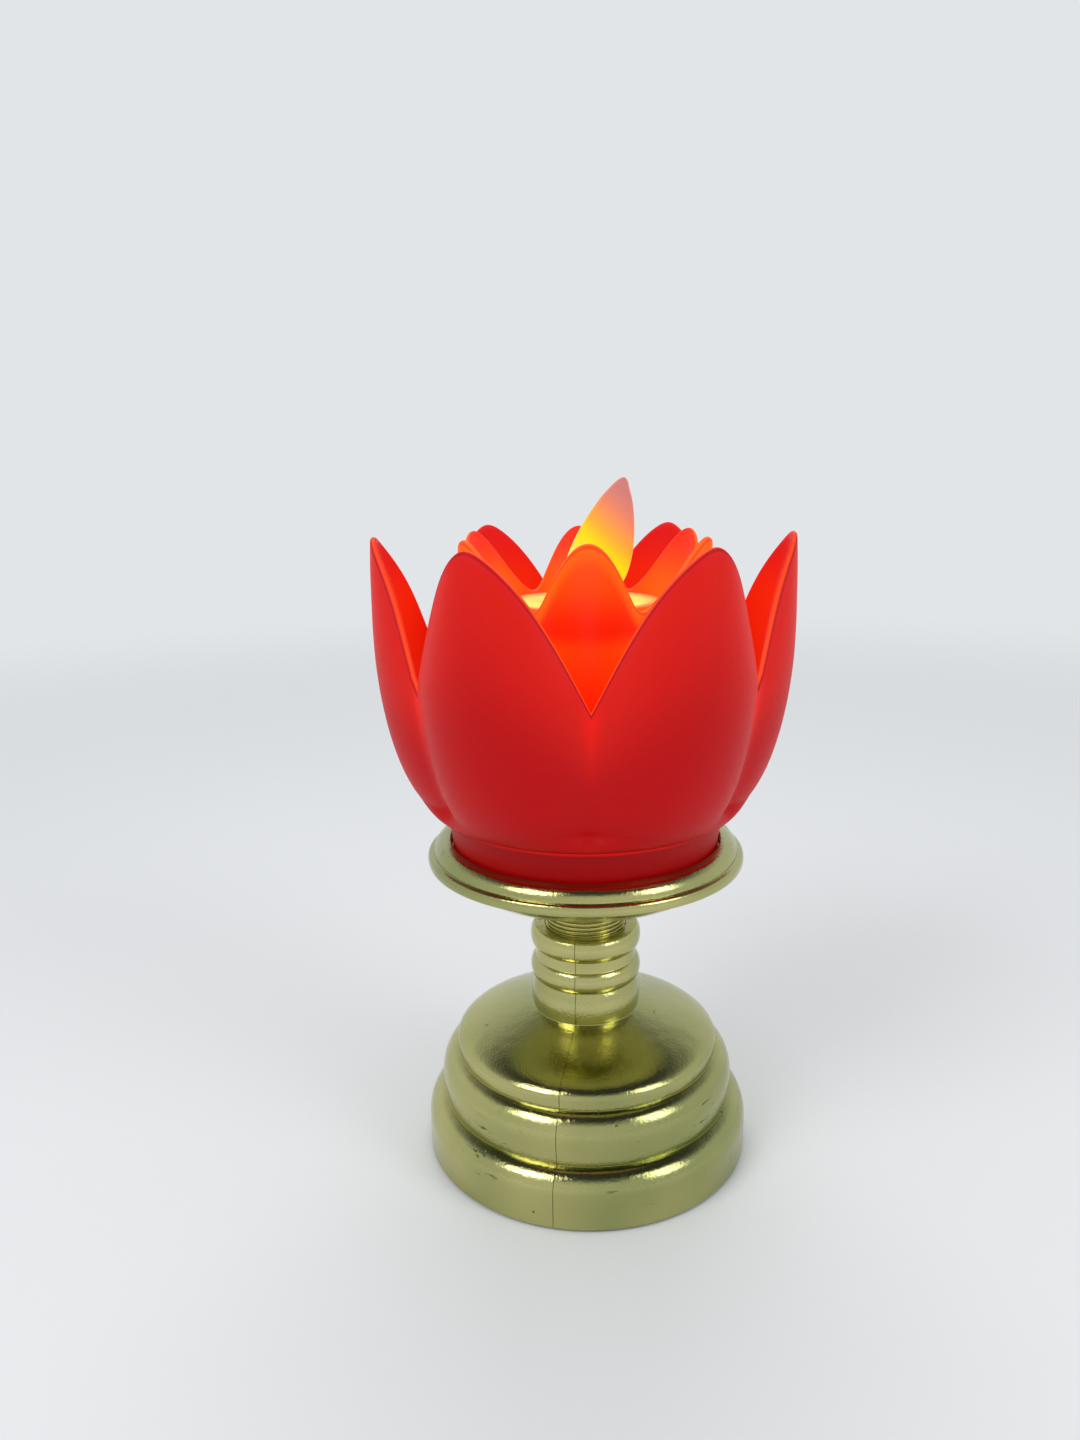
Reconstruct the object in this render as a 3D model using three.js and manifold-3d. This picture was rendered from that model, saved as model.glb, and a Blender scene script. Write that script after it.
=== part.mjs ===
import * as THREE from 'three';
import { mergeVertices } from 'three/addons/utils/BufferGeometryUtils.js';
import Module from 'manifold-3d';

const wasm = await Module();
wasm.setup();

// A lotus lamp with a swinging flame. Millimetres, +Z up, the front at -Y.
// The origin is on the table, below the centre of the round foot.
// An azimuth is an angle in degrees from the front, positive towards +X.

// Clearances shared by the whole lamp
const seatGap = 0.2;
const glueGap = 0.1;
const runningGap = 0.3;
const cutOverrun = 1;
const weldTolerance = 0.001;

// Pedestal: two plated half shells that meet on an upright seam
const shellLift = 0.8;
const shellWall = 2;
const seamAzimuth = -11;
const seamGap = 0.24;
const footRadius = 44;
const footWallHeight = 8.2;
const footShoulderRise = 6.1;
const lowerCreaseRadius = 39.2;
const middleFlare = 0.7;
const middleWallHeight = 6.2;
const middleShoulderRise = 6.8;
const upperCreaseRadius = 35.4;
const topFlare = 0.2;
const topWallHeight = 2.9;
const topShoulderRise = 3.2;
const domeRise = 8.9;
const domeMidRadius = 27;
const domeMidDrop = 3.5;
const neckBaseRadius = 14.4;
const barrelRise = 8.5;
const barrelBulge = 0.6;
const grooveRadius = 13.6;
const lowerBeadRise = 6;
const waistRadius = 13.7;
const waistRise = 3;
const upperBeadRise = 6;
const beadRadius = 14.9;
const neckLipRadius = 13.9;

// Saucer: rolled rim, shallow bowl, hub and the spigot that stands in the neck
const spigotRadius = 10.9;
const spigotBoreRadius = 8;
const spigotReach = 13;
const spigotShown = 8.1;
const hubRadius = 11.6;
const hubHeight = 2;
const saucerWall = 2;
const saucerRadius = 41.8;
const saucerLipRadius = 40.9;
const saucerRimRise = 11;
const rimThickness = 2.9;
const rimLedge = 0.7;
const rimBandRise = 2.8;
const rimBandTopRadius = 37.6;
const bowlEdgeRadius = 33;
const bowlCurveRise = 7;

// Outer petal cup
const petalCount = 6;
const lotusTurn = 1.9;
const outerFootRadius = 36.4;
const outerFootHeight = 10.3;
const outerFootSink = 1.8;
const outerBellyRadius = 53.6;
const outerBellyRise = 52;
const outerTipRise = 70.9;
const outerValleyRise = 35.3;
const outerBend = -0.4;
const outerBendRise = 14.8;
const outerLobeRise = 5.2;
const outerFoldRise = 32.6;
const outerWall = 1.6;
const outerFloorLift = 3.4;

// Inner petal cup
const innerFootRadius = 23.6;
const innerFootHeight = 2;
const innerBellyRadius = 31.4;
const innerBellyRise = 54;
const innerTipRise = 73.9;
const innerValleyRise = 57.4;
const innerBend = 2.6;
const innerBendRise = 26;
const innerLobeRise = 30;
const innerFoldRise = 16.5;
const innerWall = 1.5;

// What both cups share
const cupFloorThickness = 1.6;
const cupWireHoleRadius = 4.5;
const slopeStep = 0.05;

// Candle core: base, translucent body and slotted cap
const coreRadius = 18.8;
const coreWall = 1.3;
const coreBaseThickness = 1.4;
const coreStepHeight = 3;
const coreBossHeight = 7.4;
const coreBossRadius = 2.6;
const coreBodyHeight = 53;
const coreShelfThickness = 1.3;
const coreShelfWidth = 2;
const capSkirtHeight = 8;
const capWall = 1;
const capEdgeRound = 0.6;
const capRimWidth = 1.2;
const capDiscThickness = 1.4;
const capDishDepth = 1.4;
const capSlotLength = 11.2;
const capSlotWidth = 4.4;

// Swinging flame, its wire, magnet, cradle and coil
const pivotDrop = 5;
const flameLean = 14;
const flameHeight = 36.5;
const flameHalfWidth = 7.9;
const flameThickness = 1.4;
const flameEdgeRound = 0.35;
const stemHalfWidth = 2.6;
const stemShoulderDrop = 2;
const stemLength = 15;
const pivotHoleRadius = 0.7;
const pivotWireRadius = 0.4;
const pivotWireStickOut = 0.6;
const magnetRadius = 2.6;
const magnetHeight = 3;
const magnetClearance = 2.6;
const legGap = 10.4;
const legThickness = 2;
const legWidth = 7;
const platformThickness = 1.6;
const ledShelfThickness = 1.4;
const ledShelfDrop = 2.4;
const coilFlangeRadius = 4.8;
const coilFlangeThickness = 0.6;
const coilWindingRadius = 4.4;
const coilTubeRadius = 2;
const coilHeight = 6.2;
const coilCoreRadius = 1.4;

// Electronics and leads
const boardRadius = 16;
const boardHoleRadius = 8.6;
const boardThickness = 1.6;
const glowLedCircle = 12.4;
const glowLedRadius = 2.5;
const glowLedHeight = 8.6;
const flameLedSide = 6.4;
const flameLedFront = 4.8;
const flameLedRadius = 1.5;
const flameLedHeight = 5.3;
const ledFlangeWidth = 0.4;
const ledFlangeThickness = 1;
const chipLength = 5;
const chipWidth = 4;
const chipHeight = 1.6;
const chipCircle = 12.2;
const leadRadius = 0.7;
const leadSpacing = 2.6;
const leadHoleOffset = 11.8;

// Base plate, feet, battery tray and door
const padRadius = 4;
const padThickness = 0.9;
const padCircle = 36.4;
const padCount = 4;
const plateThickness = 2.8;
const plateGap = 0.3;
const baseScrewCircle = 35.2;
const baseBossRadius = 3.4;
const baseBossHeight = 20;
const cellRadius = 7.1;
const cellLength = 49.2;
const cellNubRadius = 2.6;
const cellNubLength = 1.3;
const cellSpacing = 14.9;
const cellLift = 0.4;
const contactThickness = 0.4;
const contactWidth = 9;
const springLength = 4.2;
const springTurns = 3;
const springWireRadius = 0.35;
const springFootRadius = 4;
const springTipRadius = 2.4;
const lugWidth = 2.2;
const lugReach = 3;
const trayWall = 1.3;
const trayGap = 0.4;
const trayFlangeWidth = 3;
const trayFlangeThickness = 1.2;
const doorThickness = 2.4;
const hingePinRadius = 0.5;
const hingePinLength = 1.8;
const latchWidth = 10;
const latchReach = 2.4;

// Slide switch
const knobLength = 4.6;
const knobWidth = 3;
const knobStickOut = 0.4;
const knobTravel = 3;
const knobFlangeWidth = 1.2;
const knobFlangeThickness = 0.8;
const switchOffset = 24.5;
const switchFootLength = 1.4;
const switchWidth = 6.4;
const switchHeight = 5.4;

// Screws
const screwHeadRadius = 2.5;
const screwHeadHeight = 1.5;
const screwShankRadius = 1.2;
const screwPointLength = 1;
const baseScrewLength = 9;
const baseScrewCount = 4;
const baseScrewRecess = 1.6;
const lotusScrewLength = 14;
const lotusScrewCount = 3;
const lotusScrewCircle = 14.5;
const lotusScrewSeatDrop = 4.6;
const lotusBossRadius = 4.2;

// Facet counts
const roundSegments = 30;
const plateSegments = 60;
const innerSegments = 24;
const smallSegments = 12;
const screwSegments = 8;
const cupRows = 6;
const curveSteps = 3;
const hiddenCurveSteps = 2;
const flameCurveSteps = 2;
const leadSides = 5;
const leadSteps = 13;
const springStepsPerTurn = 8;
const springSides = 5;

// Shapes given as shares of the sizes above
const roundHandleShare = 0.55;
const beadPullShare = 1.33;
const beadHandleShare = 0.15;
const barrelHandleShare = 0.3;
const outerBowlPower = 2.1;
const innerBowlPower = 2.2;
const cupRowPower = 1.7;
const outerLobeShare = 0.494;
const outerFoldShare = 0.34;
const innerLobeShare = 0.6;
const innerFoldShare = 0;
const outerColumnShares = [-1, -0.86, -0.66, -0.44, -0.2, 0, 0.2, 0.44, 0.66, 0.86];
const innerColumnShares = [-1, -0.8, -0.54, -0.26, 0, 0.26, 0.54, 0.8];
// Across in half widths and up in flame heights, from the right of the stem round to its left
const flameOutlineShares = [
  [0.42, 0.13], [0.58, 0.2], [0.86, 0.275], [1, 0.39], [0.98, 0.535],
  [0.835, 0.685], [0.56, 0.84], [0.28, 0.94], [0.165, 0.985], [0.075, 1],
  [-0.03, 0.985], [-0.18, 0.935], [-0.41, 0.82], [-0.67, 0.633], [-0.9, 0.455],
  [-0.96, 0.36], [-0.84, 0.27], [-0.58, 0.2], [-0.42, 0.13],
];

// Heights that follow, from the table up
const plateBottom = padThickness + glueGap;
const plateTop = plateBottom + plateThickness;
const footWallTop = shellLift + footWallHeight;
const lowerCreaseZ = footWallTop + footShoulderRise;
const middleWallTop = lowerCreaseZ + middleWallHeight;
const upperCreaseZ = middleWallTop + middleShoulderRise;
const topWallTop = upperCreaseZ + topWallHeight;
const neckBaseZ = topWallTop + domeRise;
const barrelTop = neckBaseZ + barrelRise;
const lowerBeadTop = barrelTop + lowerBeadRise;
const waistTop = lowerBeadTop + waistRise;
const neckTop = waistTop + upperBeadRise;
const spigotBottom = neckTop - spigotReach;
const hubBottom = neckTop + spigotShown;
const hubTop = hubBottom + hubHeight;
const rimBottom = hubBottom + saucerRimRise;
const lipZ = rimBottom + rimThickness;
const rimTop = lipZ + rimBandRise;
const outerFootZ = rimTop - outerFootSink;
const outerRingTop = outerFootZ + outerFootHeight;
const outerFloorZ = outerFootZ + outerFloorLift;
const innerFloorZ = outerFloorZ + cupFloorThickness + seatGap;
const innerRingTop = innerFloorZ + innerFootHeight;
const coreBaseZ = innerFloorZ + cupFloorThickness + seatGap;
const coreBodyZ = coreBaseZ + coreBaseThickness + seatGap;
const capSeatZ = coreBodyZ + coreBodyHeight + seatGap;
const capTop = capSeatZ + capDiscThickness + capDishDepth;
const pivotZ = capTop - pivotDrop;
const magnetReach = stemLength + runningGap + magnetHeight;
const platformTop = pivotZ - magnetReach - magnetClearance - coilHeight - seatGap;
const platformZ = platformTop - platformThickness;
const shelfZ = platformZ - seatGap - coreShelfThickness;
const boardZ = platformTop + seatGap;
const boardTop = boardZ + boardThickness;
const ledShelfZ = pivotZ - ledShelfDrop - ledShelfThickness;
const headSeatZ = outerFloorZ - seatGap - lotusScrewSeatDrop;

// Widths that follow
const neckBoreRadius = spigotRadius + seatGap;
const coreBoreRadius = coreRadius - coreWall;
const bayLength = cellLength + cellNubLength + springLength + 2 * contactThickness + 4 * seatGap;
const bayWidth = cellSpacing + 2 * cellRadius + 2 * trayGap;
const cellZ = plateBottom + doorThickness + cellLift + cellRadius;
const bayTop = cellZ + cellRadius + trayGap;
const doorLength = bayLength - 2 * runningGap;
const doorWidth = bayWidth - 2 * runningGap;
const screwHoleRadius = screwShankRadius + runningGap;

const radians = (degrees) => THREE.MathUtils.degToRad(degrees);
const spot = (radius, height) => new THREE.Vector2(radius, height);

// Closed geometry with shared corners, no flat faces and its faces pointing out
function weld(geometry) {
  const bare = new THREE.BufferGeometry();
  bare.setAttribute('position', geometry.getAttribute('position').clone());
  if (geometry.index) bare.setIndex(geometry.index.clone());
  const welded = mergeVertices(bare, weldTolerance);
  const place = welded.getAttribute('position');
  const corners = [new THREE.Vector3(), new THREE.Vector3(), new THREE.Vector3()];
  const faces = [];
  let volume = 0;
  for (let i = 0; i < welded.index.count; i += 3) {
    const face = [0, 1, 2].map((k) => welded.index.getX(i + k));
    if (new Set(face).size < 3) continue;
    face.forEach((vertex, k) => corners[k].fromBufferAttribute(place, vertex));
    volume += corners[0].dot(corners[1].clone().cross(corners[2]));
    faces.push(face);
  }
  if (volume < 0) faces.forEach((face) => face.reverse());
  welded.setIndex(faces.flat());
  return welded;
}

function toSolid(geometry) {
  const welded = weld(geometry);
  const vertProperties = new Float32Array(welded.getAttribute('position').array);
  const triVerts = new Uint32Array(welded.index.array);
  return new wasm.Manifold(new wasm.Mesh({ numProp: 3, vertProperties, triVerts }));
}

function toGeometry(solid) {
  const mesh = solid.getMesh();
  const geometry = new THREE.BufferGeometry();
  const places = new Float32Array(mesh.vertProperties);
  geometry.setAttribute('position', new THREE.BufferAttribute(places, 3));
  geometry.setIndex(new THREE.BufferAttribute(new Uint32Array(mesh.triVerts), 1));
  return geometry;
}

function join(first, ...others) {
  return toGeometry(others.reduce((solid, other) => solid.add(toSolid(other)), toSolid(first)));
}

function cut(first, ...others) {
  return toGeometry(others.reduce((solid, other) => solid.subtract(toSolid(other)), toSolid(first)));
}

function keep(first, other) {
  return toGeometry(toSolid(first).intersect(toSolid(other)));
}

// Basic forms, standing along Z between two heights
function revolve(points, segments = roundSegments) {
  return new THREE.LatheGeometry([...points, points[0].clone()], segments).rotateX(Math.PI / 2);
}

function rod(radius, bottom, top, segments = smallSegments) {
  return new THREE.CylinderGeometry(radius, radius, top - bottom, segments)
    .rotateX(Math.PI / 2)
    .translate(0, 0, (bottom + top) / 2);
}

function ring(outerRadius, innerRadius, bottom, top, segments) {
  const section = [spot(innerRadius, bottom), spot(outerRadius, bottom)];
  section.push(spot(outerRadius, top), spot(innerRadius, top));
  return revolve(section, segments);
}

function block(width, depth, bottom, top) {
  return new THREE.BoxGeometry(width, depth, top - bottom).translate(0, 0, (bottom + top) / 2);
}

// A rod along Y between two places
function crossRod(radius, from, to, segments = smallSegments) {
  return rod(radius, from, to, segments).rotateX(-Math.PI / 2);
}

// A place at an azimuth and a distance from the lamp's axis
function around(azimuth, distance, height = 0) {
  const angle = radians(azimuth);
  return new THREE.Vector3(distance * Math.sin(angle), -distance * Math.cos(angle), height);
}

function spread(count, firstAzimuth) {
  return Array.from({ length: count }, (_, i) => firstAzimuth + (360 * i) / count);
}

// The same form at each azimuth of a circle, unturned
function patterned(form, azimuths, circle) {
  return azimuths.map((azimuth) => form.clone().translate(...around(azimuth, circle).toArray()));
}

function distinct(points) {
  return points.filter((point, i) => i === 0 || point.distanceTo(points[i - 1]) > weldTolerance);
}

const group = new THREE.Group();

function addPiece(name, geometry, material, parent = group) {
  const mesh = new THREE.Mesh(weld(geometry), material);
  mesh.name = name;
  parent.add(mesh);
  return mesh;
}

function finish(color, roughness, metalness = 0) {
  return new THREE.MeshStandardMaterial({ color, roughness, metalness });
}

const baseScrewAzimuths = spread(baseScrewCount, 45);
const lotusScrewAzimuths = spread(lotusScrewCount, 0);

// Pedestal

// A rounded step: up from a wall, then inwards to the next crease
function addShoulder(outline, wallRadius, wallTop, creaseRadius, creaseZ) {
  const handleZ = wallTop + (creaseZ - wallTop) * roundHandleShare;
  const handleRadius = creaseRadius + (wallRadius - creaseRadius) * roundHandleShare;
  outline.bezierCurveTo(wallRadius, handleZ, handleRadius, creaseZ, creaseRadius, creaseZ);
}

// A turned bead between two heights of the neck
function addBead(outline, startRadius, start, endRadius, end) {
  const reach = startRadius + (beadRadius - startRadius) * beadPullShare;
  const handle = (end - start) * beadHandleShare;
  outline.bezierCurveTo(reach, start + handle, reach, end - handle, endRadius, end);
}

// Outside of the pedestal, from the foot's rim up to the neck's lip
function pedestalProfile(steps) {
  const outline = new THREE.Path();
  const middleRadius = lowerCreaseRadius + middleFlare;
  const topRadius = upperCreaseRadius + topFlare;
  const barrelReach = neckBaseRadius + barrelBulge;
  const barrelHandle = barrelRise * barrelHandleShare;
  outline.moveTo(footRadius, shellLift);
  outline.lineTo(footRadius, footWallTop);
  addShoulder(outline, footRadius, footWallTop, lowerCreaseRadius, lowerCreaseZ);
  outline.lineTo(middleRadius, middleWallTop);
  addShoulder(outline, middleRadius, middleWallTop, upperCreaseRadius, upperCreaseZ);
  outline.lineTo(topRadius, topWallTop);
  outline.bezierCurveTo(
    topRadius, topWallTop + topShoulderRise,
    domeMidRadius, neckBaseZ - domeMidDrop,
    neckBaseRadius, neckBaseZ,
  );
  outline.bezierCurveTo(
    barrelReach, neckBaseZ + barrelHandle,
    barrelReach, barrelTop - barrelHandle,
    grooveRadius, barrelTop,
  );
  addBead(outline, grooveRadius, barrelTop, waistRadius, lowerBeadTop);
  outline.lineTo(waistRadius, waistTop);
  addBead(outline, waistRadius, waistTop, neckLipRadius, neckTop);
  return distinct(outline.getPoints(steps));
}

// A profile moved to its left, into the material, by a wall thickness
function inset(points, wall) {
  return points.map((point, i) => {
    const before = i > 0 ? point.clone().sub(points[i - 1]).normalize() : null;
    const after = i < points.length - 1 ? points[i + 1].clone().sub(point).normalize() : null;
    const along = (before ?? after).clone().add(after ?? before).normalize();
    const mitre = along.dot(before ?? after);
    return spot(point.x - (along.y * wall) / mitre, point.y + (along.x * wall) / mitre);
  });
}

function pedestalSolid() {
  const outside = pedestalProfile(curveSteps);
  const below = pedestalProfile(hiddenCurveSteps).filter((point) => point.y <= neckBaseZ);
  const inside = inset(below, shellWall).reverse();
  const bore = [spot(neckBoreRadius, neckTop), spot(neckBoreRadius, inside[0].y)];
  const shell = revolve([...outside, ...bore, ...inside]);
  const boss = rod(baseBossRadius, plateTop + seatGap, plateTop + baseBossHeight);
  const pilotTop = plateBottom + baseScrewRecess + baseScrewLength + cutOverrun;
  const pilot = rod(screwShankRadius + glueGap, plateTop, pilotTop);
  const bosses = patterned(boss, baseScrewAzimuths, baseScrewCircle);
  const pilots = patterned(pilot, baseScrewAzimuths, baseScrewCircle);
  return cut(join(shell, ...bosses), ...pilots);
}

// The half of the pedestal on one side of the seam, +1 for the side of +X
function pedestalHalf(solid, side) {
  const reach = footRadius + cutOverrun;
  const room = block(reach, 2 * reach, 0, neckTop + cutOverrun);
  room.translate((side * (reach + seamGap)) / 2, 0, 0).rotateZ(radians(seamAzimuth));
  return keep(solid, room);
}

// Saucer

function saucerSolid() {
  const bandRadius = saucerLipRadius - rimLedge;
  const bandRise = rimTop - lipZ;
  const footWell = outerFootRadius + runningGap;
  const ledgeZ = outerFootZ - seatGap;
  const rimMiddle = rimBottom + rimThickness / 2;
  const section = new THREE.Path();
  section.moveTo(spigotBoreRadius, spigotBottom);
  section.lineTo(spigotRadius, spigotBottom);
  section.lineTo(spigotRadius, hubBottom);
  section.lineTo(hubRadius, hubBottom);
  section.lineTo(hubRadius, hubTop);
  section.bezierCurveTo(
    bowlEdgeRadius, hubTop,
    bowlEdgeRadius + saucerWall, rimBottom - saucerWall,
    saucerLipRadius - saucerWall, rimBottom,
  );
  section.lineTo(saucerLipRadius, rimBottom);
  section.quadraticCurveTo(saucerRadius, rimBottom, saucerRadius, rimMiddle);
  section.quadraticCurveTo(saucerRadius, lipZ, saucerLipRadius, lipZ);
  section.lineTo(bandRadius, lipZ + glueGap);
  section.bezierCurveTo(
    bandRadius, lipZ + bandRise * roundHandleShare,
    rimBandTopRadius + (bandRadius - rimBandTopRadius) * roundHandleShare, rimTop,
    rimBandTopRadius, rimTop,
  );
  section.lineTo(footWell, rimTop - glueGap);
  section.lineTo(footWell, ledgeZ);
  section.lineTo(bowlEdgeRadius, ledgeZ);
  section.bezierCurveTo(
    bowlEdgeRadius, ledgeZ - bowlCurveRise,
    bowlEdgeRadius - bowlCurveRise, hubTop + 2 * saucerWall,
    hubRadius, hubTop + saucerWall,
  );
  section.lineTo(spigotBoreRadius, hubTop + saucerWall);
  const dish = revolve(distinct(section.getPoints(curveSteps)));
  const bossTop = outerFloorZ - seatGap;
  const boss = rod(lotusBossRadius, hubTop + saucerWall / 2, bossTop);
  const recess = rod(screwHeadRadius + runningGap, hubBottom - cutOverrun, headSeatZ);
  const hole = rod(screwHoleRadius, headSeatZ - cutOverrun, bossTop + cutOverrun);
  const at = (form) => patterned(form, lotusScrewAzimuths, lotusScrewCircle);
  return cut(join(dish, ...at(boss)), ...at(recess), ...at(hole));
}

// Petal cups

const outerCup = {
  ringTop: outerRingTop,
  footZ: outerFootZ,
  floorZ: outerFloorZ,
  footRadius: outerFootRadius,
  bellyRadius: outerBellyRadius,
  bellyRise: outerBellyRise,
  tipRise: outerTipRise,
  valleyRise: outerValleyRise,
  bend: outerBend,
  bendRise: outerBendRise,
  bendPower: 3,
  bowlPower: outerBowlPower,
  lobeShare: outerLobeShare,
  lobeRise: outerLobeRise,
  foldShare: outerFoldShare,
  foldRise: outerFoldRise,
  rimPower: 1,
  wall: outerWall,
  firstPetal: 30,
  columnShares: outerColumnShares,
};

const innerCup = {
  ringTop: innerRingTop,
  footZ: innerFloorZ,
  floorZ: innerFloorZ,
  footRadius: innerFootRadius,
  bellyRadius: innerBellyRadius,
  bellyRise: innerBellyRise,
  tipRise: innerTipRise,
  valleyRise: innerValleyRise,
  bend: innerBend,
  bendRise: innerBendRise,
  bendPower: 2,
  bowlPower: innerBowlPower,
  lobeShare: innerLobeShare,
  lobeRise: innerLobeRise,
  foldShare: innerFoldShare,
  foldRise: innerFoldRise,
  rimPower: 2,
  wall: innerWall,
  firstPetal: 0,
  columnShares: innerColumnShares,
};

// Radius of a petal's centre line at a height above the foot ring
function petalRadius(cup, rise) {
  const climb = THREE.MathUtils.clamp(rise / cup.bellyRise, 0, 1);
  const bowl = Math.sqrt(1 - (1 - climb) ** cup.bowlPower);
  const bend = Math.max(rise - cup.tipRise + cup.bendRise, 0) / cup.bendRise;
  return cup.footRadius + (cup.bellyRadius - cup.footRadius) * bowl + cup.bend * bend ** cup.bendPower;
}

// Each petal's section is an arc that folds tighter towards the tip; inward is the wall's depth
function lobeRadius(cup, rise, angle, radius, inward) {
  const fold = THREE.MathUtils.clamp(1 - (cup.tipRise - rise) / cup.foldRise, 0, 1);
  const lobe = cup.lobeShare * THREE.MathUtils.smoothstep(rise, 0, cup.lobeRise);
  const share = lobe + cup.foldShare * fold;
  const middle = share * radius;
  const arc = radius - middle - inward;
  return middle * Math.cos(angle) + Math.sqrt(arc ** 2 - (middle * Math.sin(angle)) ** 2);
}

// Height of the rim above the foot ring, from the petal's tip at 0 to the valley at -1 and 1
function rimRise(cup, share) {
  const swell = Math.cos((Math.PI / 2) * Math.abs(share)) ** cup.rimPower;
  return cup.valleyRise + (cup.tipRise - cup.valleyRise) * Math.max(swell, 0);
}

// Outer and inner places up one column of the wall, as [radius, height]
function cupColumn(cup, share) {
  const angle = (share * Math.PI) / petalCount;
  const inward = cup.footRadius - cup.wall;
  const places = [
    [[cup.footRadius, cup.footZ], [inward, cup.footZ]],
    [[cup.footRadius, cup.ringTop], [inward, cup.ringTop + cup.wall]],
  ];
  for (let row = 1; row <= cupRows; row += 1) {
    const rise = rimRise(cup, share) * (row / cupRows) ** cupRowPower;
    const radius = petalRadius(cup, rise);
    const drop = petalRadius(cup, rise + slopeStep) - petalRadius(cup, rise - slopeStep);
    const normal = spot(2 * slopeStep, -drop).normalize();
    const inwardRun = cup.wall * normal.x;
    const height = cup.ringTop + rise;
    places.push([
      [lobeRadius(cup, rise, angle, radius, 0), height],
      [lobeRadius(cup, rise, angle, radius, inwardRun), height - cup.wall * normal.y],
    ]);
  }
  return places;
}

// The wall of a cup as one closed skin: outside, rim, inside and the foot's ring
function cupWall(cup) {
  const pitch = 360 / petalCount;
  const positions = [];
  for (const petal of spread(petalCount, lotusTurn + cup.firstPetal)) {
    for (const share of cup.columnShares) {
      const column = cupColumn(cup, share);
      const loop = [...column.map((row) => row[0]), ...column.map((row) => row[1]).reverse()];
      for (const [radius, height] of loop) {
        positions.push(...around(petal + (share * pitch) / 2, radius, height).toArray());
      }
    }
  }
  const columns = petalCount * cup.columnShares.length;
  const loopLength = positions.length / 3 / columns;
  const faces = [];
  for (let column = 0; column < columns; column += 1) {
    const here = column * loopLength;
    const next = ((column + 1) % columns) * loopLength;
    for (let k = 0; k < loopLength; k += 1) {
      const above = (k + 1) % loopLength;
      faces.push(here + k, next + k, next + above);
      faces.push(here + k, next + above, here + above);
    }
  }
  const wall = new THREE.BufferGeometry();
  wall.setAttribute('position', new THREE.Float32BufferAttribute(positions, 3));
  wall.setIndex(faces);
  return wall;
}

function petalCup(cup) {
  const top = cup.floorZ + cupFloorThickness;
  const floor = rod(cup.footRadius - cup.wall / 2, cup.floorZ, top, innerSegments);
  const wires = rod(cupWireHoleRadius, cup.floorZ - cutOverrun, top + cutOverrun);
  const hole = rod(screwHoleRadius, cup.floorZ - cutOverrun, top + cutOverrun, screwSegments);
  const holes = patterned(hole, lotusScrewAzimuths, lotusScrewCircle);
  return cut(join(cupWall(cup), floor), wires, ...holes);
}

// Candle core

function coreBase() {
  const flangeTop = coreBaseZ + coreBaseThickness;
  const stepRadius = coreBoreRadius - seatGap;
  const stepTop = flangeTop + coreStepHeight;
  const flange = rod(coreRadius, coreBaseZ, flangeTop, innerSegments);
  const step = rod(stepRadius, flangeTop - glueGap, stepTop, innerSegments);
  const well = rod(stepRadius - coreWall, flangeTop, stepTop + cutOverrun, innerSegments);
  const boss = rod(coreBossRadius, flangeTop - glueGap, coreBaseZ + coreBossHeight, screwSegments);
  const pilotTop = headSeatZ + lotusScrewLength + cutOverrun / 2;
  const pilot = rod(screwShankRadius + glueGap, coreBaseZ - cutOverrun, pilotTop, screwSegments);
  const wires = rod(cupWireHoleRadius, coreBaseZ - cutOverrun, flangeTop + cutOverrun);
  const at = (form) => patterned(form, lotusScrewAzimuths, lotusScrewCircle);
  return cut(join(flange, cut(step, well), ...at(boss)), wires, ...at(pilot));
}

function coreBody() {
  const shelfBore = coreBoreRadius - coreShelfWidth;
  const shelfTop = shelfZ + coreShelfThickness;
  const top = coreBodyZ + coreBodyHeight;
  return revolve([
    spot(coreBoreRadius, coreBodyZ),
    spot(coreRadius, coreBodyZ),
    spot(coreRadius, top),
    spot(coreBoreRadius, top),
    spot(coreBoreRadius, shelfTop),
    spot(shelfBore, shelfTop),
    spot(coreBoreRadius, shelfZ - coreShelfWidth),
  ], innerSegments);
}

function coreCap() {
  const inside = coreRadius + runningGap;
  const outside = inside + capWall;
  const dishRadius = outside - capEdgeRound - capRimWidth;
  const section = new THREE.Path();
  section.moveTo(0, capSeatZ);
  section.lineTo(inside, capSeatZ);
  section.lineTo(inside, capTop - capSkirtHeight);
  section.lineTo(outside, capTop - capSkirtHeight);
  section.lineTo(outside, capTop - capEdgeRound);
  section.quadraticCurveTo(outside, capTop, outside - capEdgeRound, capTop);
  section.lineTo(dishRadius, capTop);
  const dishZ = capTop - capDishDepth;
  section.quadraticCurveTo(dishRadius * roundHandleShare, dishZ, 0, dishZ);
  const disc = new THREE.LatheGeometry(distinct(section.getPoints(curveSteps)), roundSegments);
  const slot = block(capSlotLength, capSlotWidth, capSeatZ - cutOverrun, capTop + cutOverrun);
  const ledHole = rod(flameLedRadius + runningGap, capSeatZ - cutOverrun, capTop + cutOverrun);
  ledHole.translate(-flameLedSide, -flameLedFront, 0);
  return cut(disc.rotateX(Math.PI / 2), slot, ledHole);
}

// Flame and its drive

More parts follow.
